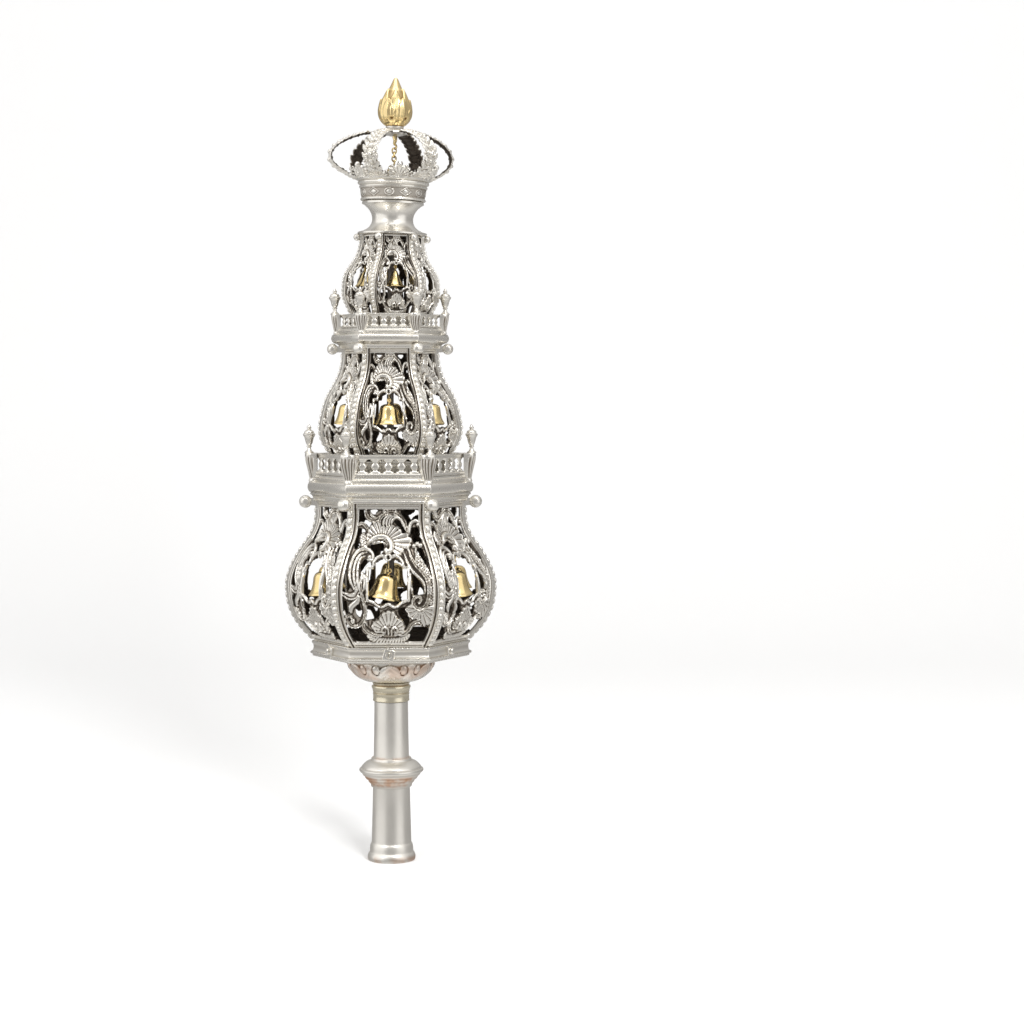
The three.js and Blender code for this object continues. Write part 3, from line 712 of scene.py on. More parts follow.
# %% The scrolls, shells and leaves
def carve(r):
    # The wave over the shell, its curled leaf and the strands that fill it.
    r.stroke(1.0, 1.5, (-4, 187), (-4.8, 190.2), (-3.6, 192.8), (0, 194.5), (3.8, 194.2),
        (7.1, 191.6), (9.1, 188), (10, 183.6), kind="channel")
    r.stroke(0.8, 1.5, (1.4, 187.2), (2, 190.4), (4.1, 191.9), (6.3, 191), (8, 188.4), (9.2, 185),
        kind="round")
    for step in range(3):
        r.stroke(0.75, 1.1, (-2.6 + step * 1.5, 186.6), (-2.6 + step * 1.6, 190),
            (-0.8 + step * 1.5, 192.6), (2.6 + step, 193.2 - step * 0.3))
    r.fan((0.8, 193.4), 1.1, 5, [(-3.6, 194.8), (-2.4, 197), (0.8, 197.8), (3.6, 197),
        (5.2, 194.6)])
    r.stroke(1.15, 1.3, (-12, 196.2), (-11.9, 193.6), (-10.2, 191.2), (-7.7, 190.5), (-5.6, 191.5),
        (-3.9, 193.6), kind="channel")
    r.stroke(0.7, 1.1, (-9.8, 194.6), (-8.6, 192.6), (-6.8, 192.2))
    # The shell, and the broad crescent that it springs from.
    r.fan((-3.0, 178.9), 1.7, 17, [(-11.4, 177.6), (-12.2, 181.9), (-11, 185.3), (-8.8, 189.2),
        (-5.8, 190.4), (-4, 188.2), (-1.2, 187.4), (2, 188.2), (5.8, 187), (7.6, 184),
        (10.8, 183.2), (13.2, 178.8), (11.2, 175.8), (8.8, 175.4), (7.4, 171.8), (4, 172.4)],
        hub=0.1)
    r.stroke(1.6, 2.6, (-11.4, 177), (-8.8, 180), (-5.3, 181.6), (-1.7, 181.3), (0.7, 179.2),
        (1.7, 176.8), (1.2, 174.6), (-0.6, 173.5), ends=(0.25, 0.8))
    r.stroke(0.5, 2.2, (-10.6, 176.8), (-8, 179.2), (-4.7, 180.4), (-1.8, 179.8), (-0.4, 177.8),
        (-0.6, 176.2))
    r.knob((-1.2, 174.6), 1.45, 2.6)
    r.stroke(1.9, 1.2, (-12.6, 176.4), (-13.4, 180), (-13.4, 183.8), kind="leafy", ends=(0.9, 0.3),
        nick=1.3)
    r.stroke(0.95, 1.2, (-16.8, 187.6), (-14.4, 188.8), (-12.2, 187.4), (-10.9, 184.6),
        kind="channel")
    r.stroke(0.95, 1.3, (11, 183), (11.3, 187.2), (12.7, 189.6), (14.9, 190.1), (16.3, 189),
        (15.6, 187.6))
    r.knob((15.5, 188.2), 1.0, 1.5)
    for x, z in ((13.6, 177), (15.3, 178.1), (17.1, 177.3)):
        r.knob((x, z), 1.2, 1.7)
    r.stroke(0.55, 0.9, (14.8, 176.4), (14.5, 174), (16.1, 172))
    # The window's moulding, with squared shoulders and an arched head.
    for side in (-1, 1):
        r.stroke(0.85, 1.6, (11 * side, 148.6), (11 * side, 165.9), (8.3 * side, 165.9),
            (7.8 * side, 168.6), (6.2 * side, 170.8), (3.8 * side, 172), (1.2 * side, 171.6),
            ends=(1, 1), smooth=False)
    r.stroke(0.85, 1.6, (-11, 148.9), (-7.6, 147.6), (-5.2, 145.7), (-2.8, 145.4), (0, 146.8),
        (2.6, 145.4), (5, 145.5), (7.4, 147.5), (11, 148.9), ends=(1, 1))
    # The tall acanthus on the left: four strands that run down to a husk.
    r.stroke(0.9, 1.5, (-10.6, 169.9), (-8.8, 169.7), (-7.9, 171.4), (-8.8, 173.8), (-11.2, 175.5),
        (-14, 175.5), (-16.9, 173.8), (-19, 170), (-20.3, 165), (-20.2, 160.4), (-18.8, 156.4),
        (-17, 153.6), ends=(0.8, 0.5))
    r.stroke(0.85, 1.3, (-11.4, 173.8), (-14.4, 173), (-16.8, 169.8), (-18.1, 165.4), (-18, 160),
        (-16.9, 154))
    r.stroke(0.8, 1.2, (-11.9, 172), (-14.7, 170.5), (-16.1, 166), (-16.2, 160), (-16.2, 154))
    r.stroke(0.8, 1.2, (-13.2, 163.4), (-14.4, 160), (-15.5, 154.5))
    r.knob((-9.8, 171.2), 1.3, 1.9)
    r.stroke(1.3, 1.3, (-15.2, 154.4), (-17.4, 150.8), (-20.8, 150.4), (-24.4, 152.6),
        kind="channel")
    r.stroke(0.8, 1.5, (-15.8, 155.2), (-18, 152.4), (-21, 152), (-24, 153.2))
    r.stroke(1.3, 1.4, (-14.2, 163.2), (-12.6, 161), (-12, 157.6), (-13, 154))
    r.stroke(1.0, 1.5, (-14, 160.6), (-14.4, 157.3), (-14, 152.1), (-12.6, 147.2), (-12.1, 142.7),
        (-12.9, 138.5), (-15.8, 135), (-19.2, 134.9), (-21.4, 137), (-22, 139.6), (-20.6, 140.8),
        (-19.4, 139.4), kind="channel", ends=(0.5, 0.7))
    r.knob((-18.8, 137.6), 1.4, 1.9)
    r.stroke(1.5, 1.3, (-15.4, 151), (-16.4, 148.4), (-18.3, 146.6), (-19.6, 145), (-19.6, 142.4),
        ends=(0.4, 0.5))
    # The doubled scroll on the right, the lattice beside it and its spiral end.
    r.lattice(1.0, (14.6, 174.4), (17.2, 171.6), (21, 166), (23.4, 161), (25, 154), (25, 146),
        (21.6, 146), (21.4, 152), (20.8, 158), (17, 164.6), (14, 169))
    r.stroke(0.8, 1.5, (7.8, 175.4), (9.2, 171.2), (10.9, 167.4), (13, 164.2), (15.8, 161.4),
        (18.4, 158.8), (19.8, 155), (19.4, 151.6))
    r.stroke(1.1, 1.7, (10.6, 175.8), (12.1, 171.2), (14.5, 167.3), (17.2, 164.6), (19.7, 161.6),
        (21.3, 158), (21.9, 154), (21.3, 149.4), (19.8, 145.9), (16.8, 144.3), (14.2, 145.5),
        (13.3, 148.4), (14.4, 150.6), (16.6, 150.8), (17.6, 149.2), (16.6, 147.6), kind="channel",
        ends=(0.5, 0.7))
    r.stroke(0.7, 1.2, (10.9, 166), (11.9, 160.5), (12.4, 155.4), (13.4, 150.4))
    r.fan((17.6, 144.2), 1.5, 10, [(12.2, 147), (9, 144.6), (9.8, 142), (11.4, 139), (14.6, 138.6),
        (17.6, 137.6), (19.4, 134.4), (22, 135.8), (23.4, 139), (24.6, 142.8), (24.6, 146.4)])
    # The shell at the foot, between two spirals, over a leafy bed.
    r.stroke(1.8, 0.9, (-10.6, 128.9), (-7.9, 127), (-3.1, 126), (1.8, 125.8), (7.5, 126.7),
        (10.6, 129.3), kind="leafy", ends=(0.6, 0.6))
    r.fan((0.2, 131.2), 1.6, 13, [(-6.4, 131.2), (-9.2, 134.7), (-8, 137.7), (-5.4, 138.7),
        (-3.7, 141.6), (-1.7, 143.4), (0.6, 144), (3.6, 142.8), (4.9, 140), (7.4, 138.6),
        (8.8, 136), (8.4, 131.2)])
    for x, side in ((-1.7, -1), (3.3, 1)):
        r.stroke(0.65, 2.0, (x - 1.6 * side, 129.9), (x - 1.6 * side, 133), (x, 134.6),
            (x + 1.6 * side, 133.4), (x + 1.3 * side, 131.6), (x, 131.6), ends=(0.6, 0.9))
    r.stroke(1.0, 1.6, (-1.8, 130.2), (-6.2, 129.6), (-9.8, 131), (-12.6, 133.6), (-13.2, 135.6),
        (-11.8, 136.8), (-11, 134.8), kind="channel")
    r.stroke(1.05, 1.6, (3.4, 130), (7.6, 130.2), (10.4, 132.4), (12.5, 135.6), (15.3, 137.4),
        (17.6, 136.8), (16.9, 135), kind="channel")


# %% [markdown]
# A face is a grid whose columns keep to the frame, so its edges stay straight however the face
# narrows. Grid points beside an opening slide onto its edge, the faces inside it are deleted, and
# a Solidify modifier gives the plate its thickness. The inside is darkest, as tarnish and painted
# shade.

# %% One face of a storey
# The frame's moulding, from the ornament out to the rib.
FRAME_LIFT = [0.45, 0.4, 0.95, 1.05, 0.9, 0.6, 0.5]


def face_plate(name, storey):
    columns, rows = storey["cells"]
    strip = np.linspace(0, 1, len(FRAME_LIFT) + 1)
    z_own = np.linspace(storey["curve"][0][1] - 0.5, storey["curve"][-1][1] + 0.6, rows)
    z = STOREYS["lower"]["ring"] + (z_own - storey["ring"]) / storey["scale"]
    across = np.linspace(-1, 1, columns)
    grid_z, grid_across = np.meshgrid(z, across, indexing="ij")
    grid_own = np.meshgrid(z_own, across, indexing="ij")[0]
    x = grid_across * clear_half(STOREYS["lower"], grid_z)
    relief = Relief(x, grid_z)
    cut_openings(relief)
    carve(relief)
    # Rails across the top and the foot, and a soft rise where the ornament meets the frame.
    rail = np.maximum(grid_z - 196.2, 125.6 - grid_z)
    relief.raise_to(0.9 + 0.35 * np.abs(np.sin(np.clip(rail, 0, 3.1) * 2.0)), rail)
    border = np.abs(x) - (clear_half(STOREYS["lower"], grid_z) - 1.15)
    relief.raise_to(0.75 + 0.5 * np.sin(np.clip(border / 1.15, 0, 1) * math.pi) ** 0.7, border)
    solid = np.maximum(relief.solid, relief.added)
    own_x = (grid_across + storey["spread"] * (grid_across - grid_across**3)) * clear_half(storey,
        grid_own)
    height = relief.height * storey["relief"]

    # The frame strip on both sides, out to the middle of the ribs.
    corner = (rib_radius(storey, z_own) - storey["rib_proud"]) / 2
    clear = clear_half(storey, z_own)
    frame_x = clear[:, None] + strip[None, 1:] * (corner - clear)[:, None]
    lift = np.array(FRAME_LIFT) * storey["relief"] * 1.2
    lifts = np.tile(lift, (rows, 1))
    own_x = np.hstack([-frame_x[:, ::-1], own_x, frame_x])
    height = np.hstack([lifts[:, ::-1], height, lifts])
    firm = np.full((rows, len(lift)), 2.0)
    solid = np.hstack([firm, solid, firm])
    high = np.repeat(z_own[:, None], own_x.shape[1], axis=1)

    # Slide the points next to an opening onto its edge.
    cell = np.abs(np.gradient(own_x, axis=1)) * 0.5 + np.gradient(high, axis=0) * 0.5
    edge = solid * storey["scale"]
    slope_x = np.gradient(edge, axis=1) / np.gradient(own_x, axis=1)
    slope_z = np.gradient(edge, axis=0) / np.gradient(high, axis=0)
    steep = np.clip(slope_x**2 + slope_z**2, 0.25, 4)
    near = np.abs(edge) < 0.62 * cell
    own_x = np.where(near, own_x - edge * slope_x / steep, own_x)
    high = np.where(near, high - edge * slope_z / steep, high)
    edge = np.where(near, 0, edge)

    # Bend the plate to the storey's curve.
    flat = (rib_radius(storey, high) - storey["rib_proud"]) * SLANT
    tilt = (rib_radius(storey, high + 0.5) - rib_radius(storey, high - 0.5)) * SLANT
    length = np.sqrt(1 + tilt**2)
    ground = storey["wall"] * -0.25
    out = flat + (height + ground) / length
    up = high - (height + ground) * tilt / length
    piece = formed(name, np.stack([own_x, -out, up], axis=-1))
    face_towards(piece, np.tile([0.0, -1.0, 0.0], (out.size, 1)))
    # Tarnish and painted shade: the low ground between the ornament darkens; the inside is darkest.
    recess = np.clip(0.75 - height / storey["relief"], 0, 1) ** 1.3
    set_tarnish_and_shade(piece, recess.ravel())
    delete_points(piece, (edge < -1e-6).ravel(), triangles=True)
    keep_largest(piece)
    values = np.clip(read_tarnish_and_shade(piece) * 0.8 + tarnish_and_shade_of(piece, 8.0, 1) * 0.95, 0, 1)
    return thicken(piece, storey["wall"] * 0.9, values, 0.97)


def delete_points(piece, unwanted, triangles=False):
    """Deletes the vertices marked in `unwanted`, with the quads cut to triangles first if asked."""
    with edit_mode(piece):
        if triangles:
            bpy.ops.mesh.quads_convert_to_tris(quad_method="SHORTEST_DIAGONAL")
        bpy.ops.mesh.select_all(action="DESELECT")
    piece.data.vertices.foreach_set("select", unwanted)
    bpy.ops.object.mode_set(mode="EDIT")
    bpy.ops.mesh.delete(type="VERT")
    bpy.ops.object.mode_set(mode="OBJECT")


def face_towards(piece, outwards):
    """Turns all faces over if most of them look away from the directions given for the vertices."""
    alone(piece)
    normals = np.empty(len(piece.data.vertices) * 3)
    piece.data.vertex_normals.foreach_get("vector", normals)
    if (normals.reshape(-1, 3) * outwards.reshape(-1, 3)).sum() < 0:
        with edit_mode(piece):
            bpy.ops.mesh.flip_normals()


def keep_largest(piece):
    """Deletes every loose island of a mesh but the largest."""
    ends = np.empty(len(piece.data.edges) * 2, dtype=int)
    piece.data.edges.foreach_get("vertices", ends)
    a, b = ends.reshape(-1, 2).T
    label = np.arange(len(piece.data.vertices))
    while True:
        lowest = label.copy()
        np.minimum.at(lowest, a, label[b])
        np.minimum.at(lowest, b, label[a])
        lowest = lowest[lowest]
        if (lowest == label).all():
            break
        label = lowest
    biggest = np.bincount(label).argmax()
    delete_points(piece, label != biggest)


# %% Ribs and their rolled ends
def rib_strip(name, storey):
    """A strip along the corner whose outer edge is scalloped."""
    line = smooth_line(storey["curve"], 24)
    z = np.linspace(line[0, 1], storey["curve"][-1][1] - 0.4, 220)
    radius = rib_radius(storey, z)
    along = np.concatenate([[0], np.cumsum(np.hypot(np.diff(radius), np.diff(z)))])
    slope = np.gradient(radius, z)
    length = np.sqrt(1 + slope**2)
    half, depth = storey["rib_width"] / 2, storey["rib_proud"] + storey["wall"]
    section = [(-half, -depth), (-half, -0.7), (-half * 0.94, -0.3), (-half * 0.75, -0.05),
        (-half * 0.4, 0.04), (0, 0.08), (half * 0.4, 0.04), (half * 0.75, -0.05), (half * 0.94,
        -0.3), (half, -0.7), (half, -depth), (0, -depth), (-half, -depth)]
    rows, dark = [], []
    for side, lift in section:
        # The nicks between the scallops bend a little towards the strip's edges.
        phase = along / storey["scallop"] + 0.1 * (side / half) ** 2
        bump = 1 - (1 - np.abs(np.sin(math.pi * phase))) ** 1.7
        deep = 0.95 * min(1.0, storey["scale"] + 0.1)
        rise = lift + deep * (bump - 0.8) * (lift > -0.6)
        swell = side * (1 + 0.1 * bump * (lift > -1))
        rows.append(np.stack([radius + rise / length, swell, z - rise * slope / length], axis=-1))
        # Tarnish and painted shade in the nicks between the scallops.
        dark.append(np.clip(0.5 - bump, 0, 1) * (lift > -0.6))
    strip = formed(name, np.stack(rows, axis=1))
    set_tarnish_and_shade(strip, np.stack(dark, axis=1).ravel())
    return close_up(strip, fill=True)


def roll_end(name, storey):
    radius, width, reach, z = storey["roll"]
    half = width / 2
    side = [(0, 1.12), (0.55, 1.1), (0.66, 1.0), (0.72, 0.88), (0.78, 0.9), (0.88, 0.8),
        (0.97, 0.52), (1.02, 0)]
    profile = [(radius * r, half * w) for r, w in side]
    roll = turned(name, [(r, -w) for r, w in profile] + profile[-2::-1], steps=32)
    moved(roll, shift(reach, 0, z) @ Matrix.Rotation(math.pi / 2, 4, "X"))
    inner, side = rib_radius(storey, z - 2) - 2, half * 0.45
    corners = [(-side, -0.6), (side, -0.6), (side, 0.55), (-side, 0.55), (-side, -0.6)]
    neck = formed(name + "_neck", np.array([[(r, y, z + radius * up) for r in (inner,
        reach - radius * 0.4)] for y, up in corners]))
    close_up(neck, fill=True)
    whole = joined(name, [roll, neck])
    set_tarnish_and_shade(whole, np.zeros(len(whole.data.vertices)))
    return whole


for tier, storey in STOREYS.items():
    plate = face_plate(tier + "_plate", storey)
    rib = joined(tier + "_rib", [rib_strip(tier + "_strip", storey), roll_end(tier + "_roll",
        storey)])
    set_tarnish_and_shade(rib, np.clip(read_tarnish_and_shade(rib) + tarnish_and_shade_of(rib, 2.0, 1) * 0.6, 0, 1))
    moved(rib, round_axis(-60))
    scale = storey["scale"]
    ring = wire_ring(1.55 * scale, 0.5 * scale, 24)
    reach = (rib_radius(storey, storey["ring"]) - storey["rib_proud"]) * SLANT + 0.6 * scale
    moved(ring, shift(0, -reach, storey["ring"]))
    set_tarnish_and_shade(ring, np.full(len(ring.data.vertices), 0.1))
    whole = joined(tier + "_face", [plate, rib, ring])
    settle_round(whole, tier + "_face", tier + "_panel", silver, storey["place"])

# %% [markdown]
# The bells are thin shells of gilt silver, spun from one profile and hung on wires from the
# rings. A bell this small is a steep cone with a round crown and a flared lip. Each hangs a
# little differently.

# %% Bells
ROUND = [(0, 0), (0.22, -0.005), (0.42, -0.04), (0.56, -0.11), (0.64, -0.22), (0.68, -0.36),
    (0.72, -0.52), (0.78, -0.67), (0.86, -0.8), (0.94, -0.89), (0.99, -0.94), (1.0, -0.97),
    (1.0, -1.0)]
STEEP = [(0, 0), (0.1, -0.01), (0.2, -0.06), (0.29, -0.16), (0.38, -0.3), (0.48, -0.46),
    (0.6, -0.62), (0.74, -0.78), (0.88, -0.9), (0.98, -0.96), (1.0, -0.98), (1.0, -1.0)]


def bell_profile(radius, height, outside, wall):
    """A closed loop from the top of the bell down its outside, round the lip and back up inside."""
    line = smooth_line([(r * radius, z * height) for r, z in outside], 3)
    line[:, 0] = np.maximum(line[:, 0], 0)
    inside = [(max(r - wall, 0), z - wall * (1 - i / len(line))) for i,
        (r, z) in enumerate(line)][::-1]
    return [tuple(p) for p in line] + inside[1:]


BELLS = { "lower": dict(radius=9.0, height=13.0, shape=ROUND, reach=40.9, bottom=149.1,
    tilts=(12, -5, 4, -7, 6, -4), place=UPRIGHT), "middle": dict(radius=7.5, height=11.0,
    shape=ROUND, reach=26.0, bottom=241.7, tilts=(0, 5, -4, 6, -6, 3), place=UPRIGHT),
    "upper": dict(radius=5.1, height=8.6, shape=STEEP, reach=15.6, bottom=316.4, tilts=(0, 4, -3,
    5, -5, 3), place=LEAN), }


def hung_bell(tier, sizes):
    radius, height, scale = sizes["radius"], sizes["height"], STOREYS[tier]["scale"]
    shell = turned(tier + "_shell", bell_profile(radius, height, sizes["shape"], 0.5), steps=48)
    hook = tube(tier + "_hook", [(0, 0, -0.5), (0.2, 0, 0.8), (1.2 * scale, 0, 1.6), (0.6 * scale,
        0, 2.8), (-0.7 * scale, 0, 2.5), (-0.5 * scale, 0, 1.2)], 0.42)
    clapper = ball(tier + "_clapper", (0, 0, -height * 0.86), radius * 0.17)
    stalk = tube(tier + "_stalk", [(0, 0, -1), (0.2, 0, -height * 0.5), (0, 0, -height * 0.8)], 0.3)
    return joined(tier + "_hung", [shell, hook, clapper, stalk])


for tier, sizes in BELLS.items():
    ring = STOREYS[tier]["ring"]
    for face in range(FACES):
        bell = hung_bell(tier, sizes)
        moved(bell, Matrix.Rotation(math.radians(sizes["tilts"][face]), 4, "Y"))
        top = sizes["bottom"] + sizes["height"]
        wire = tube("wire", [(0.1, 0, 1.2), (0.3, 0.2, (ring - top) * 0.5),
            (0, -0.3, ring - top - 0.6)], 0.32, sides=6)
        set_tarnish_and_shade(wire, np.full(len(wire.data.vertices), 0.15))
        whole = joined(f"{tier}_bell", [bell, wire])
        whole.data.attributes.remove(whole.data.attributes["tarnish_and_shade"])
        piece = copy_of(whole, f"{tier}_gilt_bell_{face + 1}",
                        sizes["place"] @ round_axis(60 * face) @ shift(0, -sizes["reach"], top))
        bpy.data.objects.remove(whole)
        settle(piece, f"{tier}_bell_{face + 1}", gilt, gain=1.5)
print("bells hung:", FACES * len(BELLS))

# %% [markdown]
# The stem is a plain tube, turned on a lathe, with a rolled foot and a moulded knop to hold it
# by. Under the knop and at the foot the silver has rubbed thin and shows coppery.

# %% Stem and collar
stem_outside = [(12.2, 0), (12.9, 0.25), (13.25, 1.2), (13.3, 2.2), (13.0, 3.4), (12.5, 4.3),
    (12.1, 4.7), (12.0, 5.2), (12.0, 6.6), (11.75, 8.4), (11.45, 9.3), (11.2, 9.6), (11.05, 9.9),
    (11.0, 10.4), (10.6, 25), (10.25, 40.6), (10.3, 41.0), (11.2, 41.2), (11.4, 41.7),
    (11.4, 42.9), (11.6, 43.2), (12.3, 43.4), (12.7, 44.0), (12.9, 44.9), (13.2, 45.1),
    (14.0, 45.4), (14.5, 46.1), (14.7, 46.9), (15.0, 47.1), (15.7, 47.5), (16.1, 48.2),
    (16.2, 48.9), (17.0, 49.2), (17.65, 49.8), (17.8, 50.5), (17.6, 51.1), (17.0, 51.45),
    (16.6, 51.5), (16.6, 51.9), (16.3, 52.5), (15.4, 53.5), (14.3, 54.5), (13.1, 55.2),
    (12.0, 55.6), (11.2, 55.7), (11.1, 55.9), (11.1, 56.8), (10.8, 57.2), (9.9, 57.3),
    (9.75, 57.8), (9.45, 73), (9.25, 88.4)]
stem_inside = [(8.2, 88.4), (8.2, 46), (9.1, 40), (10.1, 4), (11.3, 0.6)]
stem_piece = turned("stem_tube", stem_outside + stem_inside, steps=128)
stem_points = coordinates(stem_piece) / MM
# Tarnish and painted shade: the inside of the tube is darkened.
inside_stem = np.hypot(stem_points[:, 0], stem_points[:, 1]) < np.interp(stem_points[:, 2],
    (0, 4, 40, 46), (11.5, 10.4, 9.3, 8.4))
settle(stem_piece, "stem", stem_silver,
       tarnish_and_shade=np.maximum(tarnish_and_shade_of(stem_piece, 2.5, 1), np.where(inside_stem, 0.9, 0)))

collar_profile = [(0, 97.7), (8.3, 97.7), (8.3, 88.75), (9.8, 88.75), (10.05, 89), (10.1, 89.6),
    (9.95, 90.0), (9.95, 92.3), (10.1, 92.6), (10.1, 93.1), (9.85, 93.3), (9.85, 93.6),
    (10.1, 93.8), (10.15, 94.4), (10.3, 95.4), (10.7, 96.2), (10.8, 96.8), (10.6, 97.3),
    (10.1, 97.5), (9.7, 97.7), (9.7, 98.1), (10.2, 98.4), (10.3, 98.9), (10.0, 99.3), (0, 99.3)]
settle(turned("brass_collar", collar_profile, steps=96), "stem_collar", pale_brass)
print("stem and collar turned")

# %% [markdown]
# The bowl under the tower is chased with twelve leaves. Its skin is one grid wrapped round the
# axis and back up the inside; every point of the outside moves out by the height of the leaf
# pattern there.

# %% Bowl of leaves
def leaf_wave(angle, t, count):
    """Height from 0 to 1 of a ring of upright leaves, each with a midrib and side veins."""
    phase = (angle * count / (2 * math.pi)) % 1.0 - 0.5
    half = 0.47 * np.sin(math.pi * np.clip(t * 0.93 + 0.07, 0, 1)) ** 0.45 * (1 - 0.35 * t)
    inside = np.clip(1 - (np.abs(phase) / (half + 1e-6)) ** 2, 0, 1)
    rib = np.exp(-((phase / 0.035) ** 2))
    vein = 0.5 + 0.5 * np.cos(2 * math.pi * (t * 5 + np.abs(phase) * 7))
    leaf = (0.35 + 0.65 * np.sqrt(inside)) * (0.78 + 0.22 * vein) + 0.18 * rib
    return np.where(inside > 0, leaf, 0)


turns = np.linspace(0, 2 * math.pi, 289)
t_up = np.linspace(0, 1, 40)
bowl_radius = 10.4 + 13.6 * np.sin(t_up * math.pi / 2) ** 0.95
bowl_z = 99.75 + 13.3 * (1 - np.cos(t_up * math.pi / 2)) ** 0.9
outer_r, outer_z = np.tile(bowl_radius, (len(turns), 1)), np.tile(bowl_z, (len(turns), 1))
grid_turn, grid_t = np.meshgrid(turns, t_up, indexing="ij")
wide = leaf_wave(grid_turn + math.pi / 6, np.clip(grid_t / 0.95, 0, 1), 6)
narrow = leaf_wave(grid_turn, np.clip(grid_t / 0.88, 0, 1), 6)
chased = np.maximum(wide, narrow * 0.9)
for side in (-1, 1):
    away = (grid_turn * 6 / (2 * math.pi) + 0.5 + side * 0.17) % 1.0 - 0.5
    eye = np.clip(1 - np.hypot(away * 24, (grid_t - 0.72) * 13.5) / 2.0, -1, 1)
    chased = np.where(eye > -0.18, np.where(eye > 0, 0.5 + 0.8 * np.sqrt(np.clip(eye, 0, 1)), 0.2),
        chased)
chased = chased * np.clip((0.97 - grid_t) * 12, 0, 1) * np.clip(grid_t * 14, 0, 1)
outer_r = outer_r + chased * 1.2 - 0.45
rim_r, rim_z = [24.2, 24.3, 23.9, 22.6], [112.6, 113.1, 113.4, 113.4]
in_r = [21.2, 17, 12, 9.4, 0.01]
in_z = [112, 104.5, 101.9, 101.1, 101.0]
tail_r = np.tile(rim_r + in_r + [0.01, 10.0], (len(turns), 1))
tail_z = np.tile(rim_z + in_z + [99.65, 99.65], (len(turns), 1))
skin_r, skin_z = np.hstack([outer_r, tail_r, outer_r[:, :1]]), np.hstack([outer_z, tail_z,
    outer_z[:, :1]])
bowl = formed("leaf_bowl", np.stack([skin_r * np.cos(turns)[:, None], skin_r * np.sin(turns)[:,
    None], skin_z], axis=-1))
# Tarnish and painted shade: darker between the leaves, and darkest on the inside.
bowl_depth = np.clip(0.95 - chased * 1.3, 0, 1) * np.clip((0.95 - grid_t) * 8, 0, 1)
depth_map = np.hstack([bowl_depth, np.tile([0.1] * 4 + [0.9] * 5 + [0.3] * 3, (len(turns), 1))])
set_tarnish_and_shade(bowl, depth_map.ravel())
close_up(bowl)
settle(bowl, "leaf_dome", bowl_silver,
       tarnish_and_shade=np.clip(read_tarnish_and_shade(bowl) * 0.8 + tarnish_and_shade_of(bowl, 3, 1) * 0.6, 0, 1))
print("bowl chased:", len(bowl.data.polygons), "faces")

# %% [markdown]
# The tray that carries the tower is a hexagonal moulding: the same spin as a round one, in six
# steps. A small bevel rounds its mitred corners. On each side a square nut is held by a slotted
# screw.

# %% Tray and nuts
def hexagonal(name, profile, edge):
    """A moulding spun in six steps, its mitres rounded by a bevel `edge` mm wide."""
    piece = turned(name, profile, steps=FACES)
    alone(piece)
    modifier = piece.modifiers.new("edges", "BEVEL")
    modifier.width, modifier.segments = edge * MM, 2
    modifier.limit_method, modifier.angle_limit = "ANGLE", math.radians(50)
    bpy.ops.object.modifier_apply(modifier=modifier.name)
    return piece


def darkened_inside(piece, radius, low, high, gain=3.0):
    """Tarnish and painted shade of a moulding: its hollow lines, and all inside a hexagon of this
    corner radius.
    """
    points = coordinates(piece) / MM
    angle = np.arctan2(points[:, 1], points[:, 0])
    apothem = np.hypot(points[:, 0],
        points[:, 1]) * np.cos((angle + 1e-6) % (math.pi / 3) - math.pi / 6)
    inner = (apothem < radius * SLANT) & (points[:, 2] > low) & (points[:, 2] < high)
    return np.maximum(tarnish_and_shade_of(piece, gain, 0), np.where(inner, 0.93, 0))


tray = hexagonal("tray", [(2.4, 113.7), (42.4, 113.7), (43.2, 114.0), (43.4, 114.5), (43.2, 114.9),
    (43.9, 115.1), (44.5, 115.5), (44.6, 116.1), (44.2, 116.5), (43.5, 116.8), (43.0, 117.6),
    (42.8, 118.6), (42.8, 119.6), (43.0, 120.4), (43.4, 120.9), (43.7, 121.2), (43.7, 122.0),
    (43.4, 122.4), (38.8, 122.4), (38.8, 115.1), (2.4, 115.1)], 0.2)
# A painted dark reflection along the cove of the tray.
cove_dark_reflection = np.exp(-(((coordinates(tray)[:, 2] / MM - 119.1) / 1.3) ** 2)) * 0.42
set_tarnish_and_shade(tray, np.maximum(darkened_inside(tray, 39.5, 113, 123), cove_dark_reflection))


def slotted_nut(name, lift, turn):
    bpy.ops.object.select_all(action="DESELECT")
    bpy.ops.mesh.primitive_cube_add(size=1)
    nut = bpy.context.object
    moved(nut, Matrix.Diagonal((6.2 * MM, 2.6 * MM, 6.2 * MM, 1)))
    with edit_mode(nut):
        bpy.ops.mesh.bevel(offset=0.55 * MM, segments=3, affect="EDGES")
    screw = turned(name + "_screw", [(0, -0.2), (1.9, -0.2), (1.9, 1.0), (1.5, 1.5), (0, 1.7)],
        steps=24)
    with edit_mode(screw):
        for place in (-0.3, 0.3):
            bpy.ops.mesh.select_all(action="SELECT")
            bpy.ops.mesh.bisect(plane_co=(place * MM, 0, 0), plane_no=(1, 0, 0))
    points = coordinates(screw)
    in_slot = (np.abs(points[:, 0]) < 0.25 * MM) & (points[:, 2] > 0.5 * MM)
    points[in_slot, 2] -= 0.7 * MM
    move_points(screw, points)
    moved(screw, shift(0, -1.3, 0) @ Matrix.Rotation(math.pi / 2, 4, "X"))
    whole = joined(name, [nut, screw])
    return moved(whole, shift(0, -lift, 118.4) @ Matrix.Rotation(math.radians(turn), 4, "Y"))


